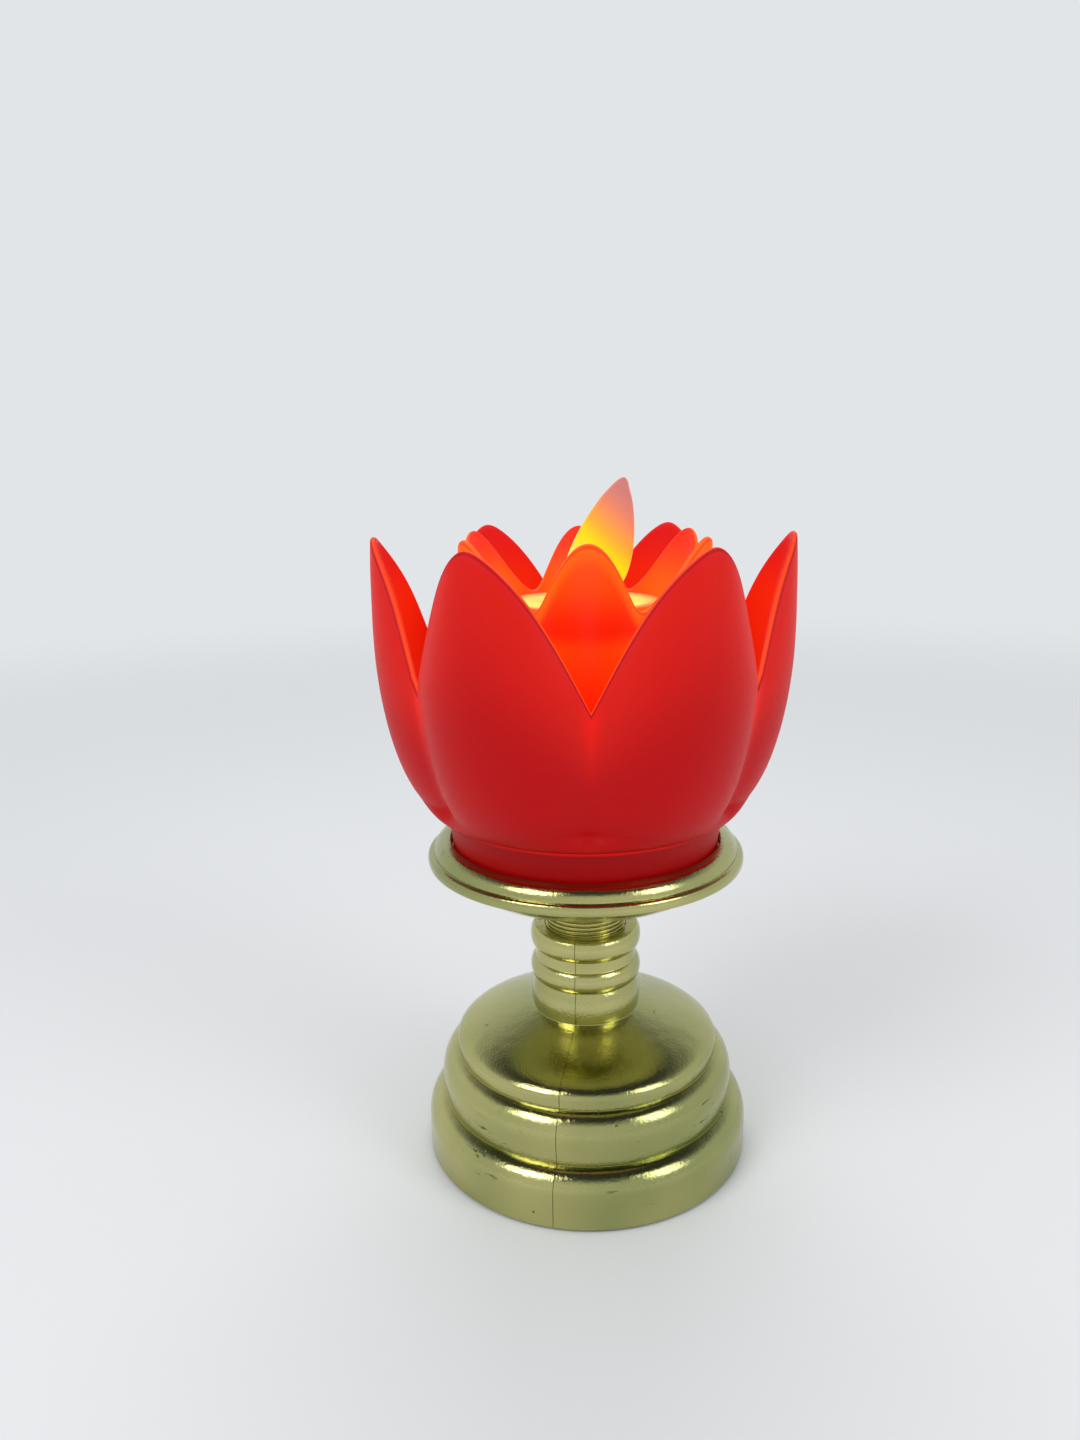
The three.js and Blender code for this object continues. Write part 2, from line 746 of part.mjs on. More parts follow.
function flameTab() {
  const tip = flameHeight;
  const shoulder = -stemShoulderDrop;
  const outline = new THREE.Shape();
  outline.moveTo(-stemHalfWidth, -stemLength);
  outline.lineTo(stemHalfWidth, -stemLength);
  outline.lineTo(stemHalfWidth, shoulder);
  outline.splineThru(flameOutlineShares.map((share) => spot(share[0] * flameHalfWidth, share[1] * tip)));
  outline.lineTo(-stemHalfWidth, shoulder);
  const pivotHole = new THREE.Path();
  pivotHole.absarc(0, 0, pivotHoleRadius, 0, 2 * Math.PI, true);
  outline.holes.push(pivotHole);
  const depth = flameThickness - 2 * flameEdgeRound;
  const tab = new THREE.ExtrudeGeometry(outline, {
    depth,
    curveSegments: flameCurveSteps,
    bevelEnabled: true,
    bevelSegments: 1,
    bevelThickness: flameEdgeRound,
    bevelSize: flameEdgeRound,
    bevelOffset: -flameEdgeRound,
  });
  return tab.translate(0, 0, -depth / 2).rotateX(Math.PI / 2);
}

function flameCradle() {
  const legTop = capSeatZ - seatGap;
  const legMiddle = (legGap + legThickness) / 2;
  const base = rod(coreBoreRadius - seatGap, platformZ, platformTop, innerSegments);
  const leg = (side) => block(legWidth, legThickness, platformTop - glueGap, legTop)
    .translate(0, side * legMiddle, 0);
  const shelfEdge = flameLedSide + flameLedRadius + 2 * ledFlangeWidth;
  const shelfBack = flameLedFront - flameLedRadius - 2 * ledFlangeWidth;
  const shelfDepth = legGap / 2 + legThickness - shelfBack;
  const shelf = block(shelfEdge, shelfDepth, ledShelfZ, ledShelfZ + ledShelfThickness)
    .translate(-shelfEdge / 2, -(shelfBack + shelfDepth / 2), 0);
  const stemRoom = block(shelfEdge, legGap, ledShelfZ - cutOverrun, legTop)
    .translate(shelfEdge / 2 - legWidth / 2 - seatGap, 0, 0);
  const wireReach = legGap / 2 + legThickness + cutOverrun;
  const wireHole = crossRod(pivotWireRadius + seatGap, -wireReach, wireReach).translate(0, 0, pivotZ);
  const leadHole = block(2 * leadSpacing, leadSpacing, platformZ - cutOverrun, platformTop + cutOverrun)
    .translate(0, leadHoleOffset, 0);
  return cut(join(base, leg(-1), leg(1), cut(shelf, stemRoom)), wireHole, leadHole);
}

function coilBobbin() {
  const bottom = platformTop + seatGap;
  const top = bottom + coilHeight;
  const bore = coilCoreRadius + seatGap;
  return revolve([
    spot(bore, bottom),
    spot(coilFlangeRadius, bottom),
    spot(coilFlangeRadius, bottom + coilFlangeThickness),
    spot(coilTubeRadius, bottom + coilFlangeThickness),
    spot(coilTubeRadius, top - coilFlangeThickness),
    spot(coilFlangeRadius, top - coilFlangeThickness),
    spot(coilFlangeRadius, top),
    spot(bore, top),
  ], smallSegments);
}

// A lamp with a domed top, standing on its flange at height zero
function ledForm(radius, height) {
  const dome = new THREE.Path();
  dome.moveTo(0, 0);
  dome.lineTo(radius + ledFlangeWidth, 0);
  dome.lineTo(radius + ledFlangeWidth, ledFlangeThickness);
  dome.lineTo(radius, ledFlangeThickness);
  dome.lineTo(radius, height - radius);
  dome.absarc(0, height - radius, radius, 0, Math.PI / 2, false);
  return revolve(distinct(dome.getPoints(hiddenCurveSteps)), screwSegments);
}

// Base plate, tray, door and switch

const hingeX = -bayLength / 2 + runningGap + doorThickness / 2;
const hingeZ = plateBottom + doorThickness / 2;
const padAzimuths = spread(padCount, 0);

function basePlate() {
  const plate = rod(footRadius - shellWall - plateGap, plateBottom, plateTop, plateSegments);
  const low = plateBottom - cutOverrun;
  const high = plateTop + cutOverrun;
  const opening = block(bayLength, bayWidth, low, high);
  const notchLength = latchReach + runningGap + cutOverrun;
  const notch = block(notchLength, latchWidth + 2 * runningGap, low, high)
    .translate(bayLength / 2 - cutOverrun + notchLength / 2, 0, 0);
  const pocketSize = 2 * (hingePinRadius + runningGap);
  const pocketReach = doorWidth + 2 * (hingePinLength + runningGap);
  const pocket = block(pocketSize, pocketReach, hingeZ - pocketSize / 2, high).translate(hingeX, 0, 0);
  const slotLength = knobLength + knobTravel + 2 * runningGap;
  const slot = block(slotLength, knobWidth + 2 * runningGap, low, high).translate(0, switchOffset, 0);
  const hole = rod(screwHoleRadius, low, high, screwSegments);
  const recess = rod(screwHeadRadius + runningGap, low, plateBottom + baseScrewRecess);
  const at = (form) => patterned(form, baseScrewAzimuths, baseScrewCircle);
  return cut(plate, opening, notch, pocket, slot, ...at(hole), ...at(recess));
}

function batteryTray() {
  const bottom = plateTop + seatGap;
  const roof = bayTop + trayWall;
  const outside = 2 * trayWall;
  const flange = outside + 2 * trayFlangeWidth;
  const walls = block(bayLength + outside, bayWidth + outside, bottom, roof);
  const skirt = block(bayLength + flange, bayWidth + flange, bottom, bottom + trayFlangeThickness);
  const room = block(bayLength, bayWidth, bottom - cutOverrun, bayTop);
  const lugX = bayLength / 2 - seatGap - contactThickness / 2;
  const slotLength = contactThickness + 2 * runningGap;
  const slot = block(slotLength, lugWidth + 2 * runningGap, cellZ, roof + cutOverrun);
  const slots = [-1, 1].map((side) => slot.clone().translate(lugX, (side * cellSpacing) / 2, 0));
  return cut(join(walls, skirt), room, ...slots);
}

function batteryDoor() {
  const half = doorThickness / 2;
  const side = new THREE.Shape();
  side.moveTo(0, -half);
  side.lineTo(doorLength - half, -half);
  side.lineTo(doorLength - half, half);
  side.lineTo(0, half);
  side.absarc(0, 0, half, Math.PI / 2, (3 * Math.PI) / 2, false);
  const run = { depth: doorWidth, curveSegments: screwSegments, bevelEnabled: false };
  const panel = new THREE.ExtrudeGeometry(side, run);
  panel.translate(0, 0, -doorWidth / 2).rotateX(Math.PI / 2);
  const pinReach = doorWidth / 2 + hingePinLength;
  const pin = crossRod(hingePinRadius, -pinReach, pinReach, screwSegments);
  const latch = block(latchReach + cutOverrun, latchWidth, -half, half)
    .translate(doorLength - half + (latchReach - cutOverrun) / 2, 0, 0);
  return join(panel, pin, latch);
}

function cellForm() {
  return revolve([
    spot(0, 0),
    spot(cellRadius, 0),
    spot(cellRadius, cellLength),
    spot(cellNubRadius, cellLength),
    spot(cellNubRadius, cellLength + cellNubLength),
    spot(0, cellLength + cellNubLength),
  ], smallSegments).rotateY(Math.PI / 2);
}

class ContactSpring extends THREE.Curve {
  getPoint(share) {
    const angle = 2 * Math.PI * springTurns * share;
    const radius = THREE.MathUtils.lerp(springFootRadius, springTipRadius, share);
    const reach = contactThickness / 2 + springLength - springWireRadius;
    const along = THREE.MathUtils.lerp(contactThickness / 2, reach, share);
    return new THREE.Vector3(along, radius * Math.cos(angle), radius * Math.sin(angle));
  }
}

function tube(path, radius, sides, steps) {
  const section = new THREE.Shape();
  const corner = spot(radius, 0);
  const turned = (angle) => corner.clone().rotateAround(spot(0, 0), radians(angle));
  section.setFromPoints(spread(sides, 0).map(turned));
  section.closePath();
  return new THREE.ExtrudeGeometry(section, { steps, extrudePath: path, bevelEnabled: false });
}

// A contact plate in the Y-Z plane, its middle at height zero
function contactPlate(width) {
  return block(contactThickness, width, -contactWidth / 2, contactWidth / 2);
}

function contactSpring() {
  const steps = Math.round(springTurns * springStepsPerTurn);
  return tube(new ContactSpring(), springWireRadius, springSides, steps);
}

function contactLug() {
  return block(contactThickness, lugWidth, 0, bayTop + trayWall + lugReach - cellZ);
}

const switchBottom = plateTop + runningGap + knobFlangeThickness + runningGap;
const switchTop = switchBottom + switchHeight;

function switchBody() {
  const channel = knobLength + 2 * knobFlangeWidth + knobTravel + 2 * runningGap;
  const length = channel + 2 * switchFootLength;
  const body = block(length, switchWidth, plateTop + seatGap, switchTop);
  return cut(body, block(channel, switchWidth + cutOverrun, plateTop - cutOverrun, switchBottom));
}

function switchKnob() {
  const flangeZ = plateTop + runningGap;
  const finger = block(knobLength, knobWidth, plateBottom - knobStickOut, flangeZ + glueGap);
  const rim = 2 * knobFlangeWidth;
  return join(finger, block(knobLength + rim, knobWidth + rim, flangeZ, flangeZ + knobFlangeThickness));
}

// A pan-head screw that points up, its head's top at height zero
function screwForm(length) {
  return revolve([
    spot(0, -screwHeadHeight),
    spot(screwHeadRadius, -screwHeadHeight),
    spot(screwHeadRadius, 0),
    spot(screwShankRadius, 0),
    spot(screwShankRadius, length - screwPointLength),
    spot(0, length),
  ], screwSegments);
}

// Leads: from the tray and the switch, up the stem, to the board
const leadSide = leadSpacing / 2;
const plateMiddle = bayLength / 2 - seatGap - contactThickness / 2;
const lugTop = bayTop + trayWall + lugReach + runningGap;
const roofRun = bayTop + trayWall + 2 * leadRadius + runningGap;
const place = (x, y, z) => new THREE.Vector3(x, y, z);

function lead(...stops) {
  return tube(new THREE.CatmullRomCurve3(stops, false, 'centripetal'), leadRadius, leadSides, leadSteps);
}

// From under the dome through the neck to the board, on one side of the middle
function stemRoute(x) {
  return [
    place(x, 0, neckBaseZ),
    place(x, 0, neckTop),
    place(x, 0, coreBaseZ + coreBossHeight),
    place(x, leadHoleOffset, platformZ - lugReach),
    place(x, leadHoleOffset, boardZ - runningGap),
  ];
}

function redLead() {
  const x = -leadSide;
  const start = place(x, switchOffset, switchTop + runningGap);
  const rise = place(x, switchOffset, bayTop);
  return lead(start, rise, place(x, bayWidth / 2, upperCreaseZ), ...stemRoute(x));
}

function blackLead() {
  const y = cellSpacing / 2;
  const start = place(plateMiddle, y, lugTop);
  const rise = place(plateMiddle, y, lugTop + lugReach);
  const bend = place(plateMiddle / 2, y / 2, upperCreaseZ - lugReach);
  return lead(start, rise, bend, ...stemRoute(leadSide));
}

function switchLead() {
  const y = -cellSpacing / 2;
  const x = leadSpacing;
  return lead(
    place(plateMiddle, y, lugTop),
    place(plateMiddle, y, lugTop + lugReach / 2),
    place(plateMiddle - cellRadius, y / 2, roofRun),
    place(plateMiddle / 2, bayWidth / 2, roofRun),
    place(x, switchOffset, bayTop),
    place(x, switchOffset, switchTop + runningGap),
  );
}

// The lamp, from the table up
const gold = finish(0x8f8a3c, 0.2, 1);
const blackPlastic = finish(0x1b1b1d, 0.55);
const steel = finish(0xb4b6b8, 0.35, 1);
const brass = finish(0xc4a24a, 0.3, 1);
const rubber = finish(0x202022, 0.9);
const milkyPlastic = finish(0xffd9a0, 0.5);
const outerRed = finish(0xb8100f, 0.42);
const innerRed = finish(0xf2350c, 0.42);

const pedestal = pedestalSolid();
addPiece('pedestal_shell_left', pedestalHalf(pedestal, -1), gold);
addPiece('pedestal_shell_right', pedestalHalf(pedestal, 1), gold.clone());
addPiece('base_plate', basePlate(), blackPlastic);
addPiece('battery_tray', batteryTray(), finish(0x2a2a2d, 0.6));

const door = addPiece('battery_door', batteryDoor(), finish(0x1f1f22, 0.5));
door.position.set(hingeX, 0, hingeZ);

const knob = addPiece('switch_knob', switchKnob(), finish(0xd9d9d6, 0.5));
knob.position.set(knobTravel / 2, switchOffset, 0);
const slideSwitch = addPiece('switch_body', switchBody(), finish(0x8f9498, 0.35, 1));
slideSwitch.position.set(0, switchOffset, 0);

const pad = rod(padRadius, 0, padThickness);
padAzimuths.forEach((azimuth, i) => {
  addPiece(`foot_pad_${i + 1}`, pad, rubber.clone()).position.copy(around(azimuth, padCircle));
});

const baseScrew = screwForm(baseScrewLength);
const baseScrewZ = plateBottom + baseScrewRecess - seatGap;
baseScrewAzimuths.forEach((azimuth, i) => {
  const screw = addPiece(`base_screw_${i + 1}`, baseScrew, steel.clone());
  screw.position.copy(around(azimuth, baseScrewCircle, baseScrewZ));
});

// Two cells side by side, the front one with its nub to +X
const frontY = -cellSpacing / 2;
const cellStart = -plateMiddle + contactThickness / 2 + springLength + seatGap;
const frontCell = addPiece('battery_cell_front', cellForm(), finish(0x2f5f3a, 0.4, 0.3));
frontCell.position.set(cellStart, frontY, cellZ);
const backCell = addPiece('battery_cell_back', cellForm(), finish(0x2f5f3a, 0.4, 0.3));
backCell.position.set(-cellStart, -frontY, cellZ);
backCell.rotation.z = Math.PI;

const positive = addPiece('contact_positive', join(contactPlate(contactWidth), contactLug()), brass);
positive.position.set(plateMiddle, frontY, cellZ);
const spring = contactSpring();
const springBack = spring.clone().rotateZ(Math.PI);
const negativeForm = join(contactPlate(contactWidth), contactLug(), springBack);
const negative = addPiece('contact_negative', negativeForm, steel.clone());
negative.position.set(plateMiddle, -frontY, cellZ);
const bridgeSpring = spring.clone().translate(0, frontY, 0);
const bridgeForm = join(contactPlate(contactWidth + cellSpacing), bridgeSpring);
addPiece('contact_bridge', bridgeForm, steel.clone()).position.set(-plateMiddle, 0, cellZ);

addPiece('lead_red', redLead(), finish(0xb01818, 0.5));
addPiece('lead_black', blackLead(), finish(0x151515, 0.5));
addPiece('lead_switch', switchLead(), finish(0xb01818, 0.5));

addPiece('saucer', saucerSolid(), gold.clone());
const lotusScrew = screwForm(lotusScrewLength);
lotusScrewAzimuths.forEach((azimuth, i) => {
  const screw = addPiece(`lotus_screw_${i + 1}`, lotusScrew, steel.clone());
  screw.position.copy(around(azimuth, lotusScrewCircle, headSeatZ - seatGap));
});

addPiece('outer_petal_cup', petalCup(outerCup), outerRed);
addPiece('inner_petal_cup', petalCup(innerCup), innerRed);

addPiece('core_base', coreBase(), milkyPlastic.clone());
addPiece('core_body', coreBody(), milkyPlastic);
addPiece('core_cap', coreCap(), finish(0xffc94a, 0.4));
addPiece('flame_cradle', flameCradle(), finish(0xe9e4d8, 0.5));

const coilBottom = platformTop + seatGap + coilFlangeThickness + seatGap;
const coilTop = platformTop + seatGap + coilHeight - coilFlangeThickness - seatGap;
addPiece('coil_bobbin', coilBobbin(), finish(0x26262a, 0.5));
const winding = ring(coilWindingRadius, coilTubeRadius + seatGap, coilBottom, coilTop, smallSegments);
addPiece('coil_winding', winding, finish(0xb0602c, 0.35, 0.8));
const coilCore = rod(coilCoreRadius, platformTop + seatGap, platformTop + coilHeight, screwSegments);
addPiece('coil_core', coilCore, steel.clone());

const boardHole = rod(leadSpacing / 2, boardZ - cutOverrun, boardTop + cutOverrun, screwSegments);
boardHole.translate(0, leadHoleOffset + leadSpacing, 0);
const board = cut(ring(boardRadius, boardHoleRadius, boardZ, boardTop, innerSegments), boardHole);
addPiece('circuit_board', board, finish(0x1f6b3a, 0.45));
const chip = addPiece('control_chip', block(chipLength, chipWidth, 0, chipHeight), finish(0x141416, 0.4));
chip.position.copy(around(0, chipCircle, boardTop + seatGap));
const glowLed = ledForm(glowLedRadius, glowLedHeight);
[-1, 1].forEach((side) => {
  const led = addPiece(side < 0 ? 'glow_led_left' : 'glow_led_right', glowLed, milkyPlastic.clone());
  led.position.set(side * glowLedCircle, 0, boardTop + seatGap);
});
const flameLed = addPiece('flame_led', ledForm(flameLedRadius, flameLedHeight), finish(0xfff0c0, 0.2));
flameLed.position.set(-flameLedSide, -flameLedFront, ledShelfZ + ledShelfThickness + seatGap);

// The flame hangs on the wire and leans to one side, with its magnet below
const wireEnd = legGap / 2 + legThickness + pivotWireStickOut;
const wireForm = crossRod(pivotWireRadius, -wireEnd, wireEnd, screwSegments);
addPiece('pivot_wire', wireForm, steel.clone()).position.set(0, 0, pivotZ);
const flame = new THREE.Group();
flame.position.set(0, 0, pivotZ);
flame.rotation.y = radians(flameLean);
group.add(flame);
addPiece('flame_tab', flameTab(), finish(0xffd860, 0.45), flame);
const magnetTop = -stemLength - runningGap;
addPiece('flame_magnet', rod(magnetRadius, magnetTop - magnetHeight, magnetTop), steel.clone(), flame);

export default group;
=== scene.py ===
import math

import bmesh
import bpy
from mathutils import Matrix, Vector


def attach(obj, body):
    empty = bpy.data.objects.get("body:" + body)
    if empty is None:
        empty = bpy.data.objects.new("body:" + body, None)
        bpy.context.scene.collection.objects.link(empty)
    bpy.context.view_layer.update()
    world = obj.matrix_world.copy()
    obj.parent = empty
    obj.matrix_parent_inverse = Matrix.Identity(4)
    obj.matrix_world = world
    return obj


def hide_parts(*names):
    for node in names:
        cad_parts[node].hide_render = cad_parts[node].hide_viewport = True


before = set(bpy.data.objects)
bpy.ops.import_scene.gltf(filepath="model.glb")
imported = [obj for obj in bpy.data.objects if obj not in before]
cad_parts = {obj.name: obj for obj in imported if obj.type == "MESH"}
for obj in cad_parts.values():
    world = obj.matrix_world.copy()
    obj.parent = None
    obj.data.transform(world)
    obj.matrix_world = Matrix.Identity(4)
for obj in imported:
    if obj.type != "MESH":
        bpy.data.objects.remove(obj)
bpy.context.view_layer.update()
print("frame:", len(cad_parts), "nodes")


class Settings(dict):  # a dictionary whose values can be read as names too
    __getattr__ = dict.__getitem__


# Node trees, for surfaces and for shapes

def sumOf(operation, swapped=False):
    def apply(self, other):
        return self.sum(operation, *((other, self) if swapped else (self, other)))
    return apply


class Value:  # a socket that does sums: an expression adds its Math nodes
    def __init__(self, tree, socket):
        self.tree = tree
        self.socket = socket

    def sum(self, operation, *terms):
        return self.tree.node("ShaderNodeMath", dict(enumerate(terms)), operation=operation)

    __add__, __radd__ = sumOf("ADD"), sumOf("ADD", True)
    __sub__, __rsub__ = sumOf("SUBTRACT"), sumOf("SUBTRACT", True)
    __mul__, __rmul__ = sumOf("MULTIPLY"), sumOf("MULTIPLY", True)
    __truediv__, __rtruediv__ = sumOf("DIVIDE"), sumOf("DIVIDE", True)
    __pow__, least, most = sumOf("POWER"), sumOf("MINIMUM"), sumOf("MAXIMUM")

    def clamped(self):
        return self.most(0).least(1)

    def sine(self):
        return self.sum("SINE", self)

    def cosine(self):
        return self.sum("COSINE", self)

    def size(self):
        return self.sum("ABSOLUTE", self)

    def output(self, name):
        return Value(self.tree, self.socket.node.outputs[name])


class Tree:  # a node tree that starts empty
    def __init__(self, treeData):
        self.data = treeData
        treeData.nodes.clear()

    # settings go first, then the values or links of the sockets
    def node(self, kind, sockets=None, out=0, **settings):
        made = self.data.nodes.new(kind)
        for key, value in settings.items():
            setattr(made, key, value)
        for key, value in (sockets or {}).items():
            if isinstance(value, Value):
                self.data.links.new(value.socket, made.inputs[key])
            else:
                made.inputs[key].default_value = value
        return Value(self, made.outputs[out]) if made.outputs else made

    def smooth(self, value, low, high):  # 0 below low, 1 above high, eased between
        return self.node("ShaderNodeMapRange", {"Value": value, "From Min": low, "From Max": high},
                         interpolation_type="SMOOTHSTEP")

    def mix(self, share, first, second):
        return self.node("ShaderNodeMix", {0: share, 6: first, 7: second}, 2, data_type="RGBA")

    def noise(self, place, scale, detail=2.0, roughness=0.5):
        return self.node("ShaderNodeTexNoise", {
            "Vector": place, "Scale": scale, "Detail": detail, "Roughness": roughness})

    def cloud(self, place, scale, detail=2.0, reach=(0.3, 0.7)):  # soft patches, from 0 to 1
        return self.smooth(self.noise(place, scale, detail), *reach)

    def place(self):
        return self.node("ShaderNodeTexCoord").output("Object")

    def axes(self, vector):
        parts = self.node("ShaderNodeSeparateXYZ", {0: vector})
        return parts.output("X"), parts.output("Y"), parts.output("Z")

    def fromAxis(self, place):
        x, y = self.axes(place)[:2]
        return (x * x + y * y) ** 0.5

    def attribute(self, name):
        return self.node("ShaderNodeAttribute", attribute_name=name).output("Fac")

    def bump(self, height, strength, distance=0.0002):
        return self.node("ShaderNodeBump", {"Height": height, "Strength": strength, "Distance": distance})

    # a fine grain that both roughens and bumps the surface
    def grained(self, scale, rough, spread, strength, distance=0.0002, detail=2.0):
        fine = self.noise(self.place(), scale, detail)
        return {"Roughness": rough + fine * spread, "Normal": self.bump(fine, strength, distance)}

    def seen(self):  # 1 for the rays that show a picture, 0 for those that only light
        path = self.node("ShaderNodeLightPath")
        straight, mirrored = path.output("Is Camera Ray"), path.output("Is Glossy Ray")
        return straight.most(mirrored).most(path.output("Is Transmission Ray"))


def shade(red, green, blue):  # a colour by its screen values
    def straight(level):
        share = level / 255
        return share / 12.92 if share <= 0.04045 else ((share + 0.055) / 1.055) ** 2.4
    return (straight(red), straight(green), straight(blue), 1)


def surface(name, paint, **constants):
    material = bpy.data.materials.new(name)
    material.use_nodes = True
    tree = Tree(material.node_tree)
    fixed = {key.replace("_", " "): value for key, value in constants.items()}
    shader = tree.node("ShaderNodeBsdfPrincipled", {**fixed, **paint(tree)})
    tree.node("ShaderNodeOutputMaterial", {"Surface": shader})
    return material


# Gold plating

gold = Settings(
    light=shade(188, 184, 122), deep=shade(154, 158, 102), worn=shade(48, 50, 30), roughness=0.1,
    cloud=22, peel=(1500, 0.8), swell=(190, 1.2), lines=120, stretch=(1, 1, 7), chips=420,
    patch=(30, 0.56, 0.64), scratch=(0.66, 0.68), pit=(0.745, 0.765),
    markDepth=0.6, markRoughness=0.3, markTone=0.8, haze=(0.5, 0.75), hazeRoughness=0.08, bump=0.4,
    wornSpot=(-0.025, -0.034, 0.017), wornReach=(0.0036, 0.012), wornScratch=0.05, wornPit=0.07,
)


def paintGold(tree):
    place = tree.place()
    peelScale, peelHeight = gold.peel
    swellScale, swellHeight = gold.swell
    patchScale, *patch = gold.patch
    peel = tree.noise(place, peelScale, 3, 0.6)
    swell = tree.noise(place, swellScale, 1)
    drawn = tree.node("ShaderNodeMapping", {"Vector": place, "Scale": gold.stretch})
    lines = tree.noise(drawn, gold.lines, 3, 0.6)
    chips = tree.noise(place, gold.chips, 2, 0.6)
    away = tree.node("ShaderNodeVectorMath", {0: place, 1: gold.wornSpot}, "Value", operation="DISTANCE")
    worn = 1 - tree.smooth(away, *gold.wornReach)
    here = tree.smooth(tree.noise(place, patchScale, 2), *patch).most(worn)
    scratch = tree.smooth(lines + worn * gold.wornScratch, *gold.scratch) * here
    pit = tree.smooth(chips + worn * gold.wornPit, *gold.pit)
    marks = (scratch + pit).least(1)
    clean = tree.mix(tree.cloud(place, gold.cloud), gold.light, gold.deep)
    height = peel * peelHeight + swell * swellHeight - marks * gold.markDepth
    haze = gold.hazeRoughness * tree.smooth(peel, *gold.haze)
    return {
        "Base Color": tree.mix(marks * gold.markTone, clean, gold.worn),
        "Roughness": gold.roughness + haze + gold.markRoughness * marks,
        "Normal": tree.bump(height, gold.bump),
    }


goldPlating = surface("goldPlating", paintGold, Metallic=1.0)


# Petals: red translucent moulding, lit from inside

# base colours: body, and a painted sheen that lightens it towards the tips; every other colour is painted
# light in the emission
petalFinish = Settings(
    # emission: the lamp's glow through the moulding, with painted shade, lit lines and highlights
    outer=Settings(
        body=shade(150, 0, 4), sheen=shade(166, 6, 8), ring=shade(70, 0, 0),
        low=shade(92, 0, 0), mid=shade(118, 0, 2), high=shade(156, 20, 6), line=shade(210, 12, 0),
        inside=shade(186, 34, 4), tip=shade(160, 20, 20), side=shade(150, 4, 6),
        rim=shade(226, 74, 26), edge=shade(72, 0, 6), veil=shade(150, 22, 44),
        # band and crease: each cup's share of painted skirt shadow and painted crease light
        veilWidth=3.2, veilShare=0.4, band=0.0, crease=0.5,
    ),
    inner=Settings(
        body=shade(180, 8, 0), sheen=shade(190, 24, 8), ring=shade(150, 10, 0),
        low=shade(222, 16, 0), mid=shade(232, 20, 0), high=shade(246, 72, 8), line=shade(230, 40, 0),
        inside=shade(250, 96, 20), tip=shade(204, 44, 24), side=shade(236, 60, 8),
        rim=shade(240, 110, 30), edge=shade(186, 60, 6), veil=shade(246, 104, 14),
        veilWidth=6.0, veilShare=0.85, band=1.0, crease=0.0,
    ),
)
# where each light starts and ends: heights in metres, drops below the rim in millimetres, the rest as shares
petalReach = Settings(
    inside=(0.4, 0.9), outside=(0.05, 0.3), mid=(0.08, 0.42), high=(0.62, 1.0),
    skirtFoot=(0.1425, 0.1475), skirtHead=(0.148, 0.16), notchSide=(0.86, 1.0), notchDrop=(1.0, 14.0),
    edge=(0.85, 1.15), tip=(0.150, 0.166), side=(0.35, 0.95), ring=(0.86, 0.98),
    ringTop=(0.86, 0.99), ringEnd=(0.004, 0.05), sheen=(0.5, 1.0), veilStart=0.8,
)
# how much of each tone comes through, and how uneven the moulding is
petalMix = Settings(
    skirt=0.8, edge=0.8, side=0.7, ringLine=0.8, uneven=0.12, unevenScale=26, grain=(900, 0.4, 0.14, 0.1))


def paintPetal(look):
    def paint(tree):
        def reach(value, key):
            return tree.smooth(value, *petalReach[key])

        place = tree.place()
        z = tree.axes(place)[2]
        climb, share, drop, across, ring = (tree.attribute(name) for name in (
            "petalClimb", "petalShare", "rimDrop", "petalInside", "ringClimb"))
        inside = reach(across, "inside")
        outside = 1 - reach(across, "outside")
        height = climb + (tree.noise(place, petalMix.unevenScale) - 0.5) * petalMix.uneven
        # painted glow from the lamp inside, brighter higher up the petal
        glow = tree.mix(reach(height, "mid"), look.low, look.mid)
        glow = tree.mix(reach(height, "high"), glow, look.high)
        # the cap's skirt shades a band of the petals round it
        shadow = reach(z, "skirtFoot") * (1 - reach(z, "skirtHead")) * look.band
        glow = tree.mix(shadow * petalMix.skirt, glow, look.body)
        # light gathers in the crease under each notch
        gather = reach(share, "notchSide") * (1 - reach(drop, "notchDrop")) * look.crease
        glow = tree.mix(gather, glow, look.line)
        # a painted band of light along the rim: a purplish reflection on the outer cup, an orange glow on
        # the inner
        veil = (1 - tree.smooth(drop, petalReach.veilStart, look.veilWidth)) * look.veilShare
        glow = tree.mix(veil, glow, look.veil)
        # a painted dark line along the rim's outer corner
        glow = tree.mix((1 - reach(drop, "edge")) * petalMix.edge, glow, look.edge)
        # the face towards the lamp: painted light, changing towards the tips and at the sides
        lit = tree.mix(reach(z, "tip"), look.inside, look.tip)
        lit = tree.mix(reach(share, "side") * petalMix.side, lit, look.side)
        glow = tree.mix(inside, glow, lit)
        # the rim's thickness: painted glow where the lamp's light comes through
        glow = tree.mix((1 - inside) * (1 - outside), glow, look.rim)
        # the foot ring: painted shade, with a painted lit line at its top
        glow = tree.mix(1 - reach(ring, "ring"), glow, look.ring)
        bright = reach(ring, "ringTop") * (1 - reach(climb, "ringEnd")) * outside
        glow = tree.mix(bright * petalMix.ringLine, glow, look.line)
        # painted sheen: the base colour lightens towards the tips
        body = tree.mix(reach(climb, "sheen"), look.body, look.sheen)
        return {"Base Color": body, "Emission Color": glow, **tree.grained(*petalMix.grain)}
    return paint


outerPetalPlastic, innerPetalPlastic = (
    surface(kind + "PetalPlastic", paintPetal(petalFinish[kind]),
            Emission_Strength=1.0, Specular_IOR_Level=0.15)
    for kind in ("outer", "inner"))


# Lit core, cap and flame

litFinish = Settings(grain=(800, 0.34, 0.15, 0.1), patches=0.3, capReach=(0.0145, 0.0198))


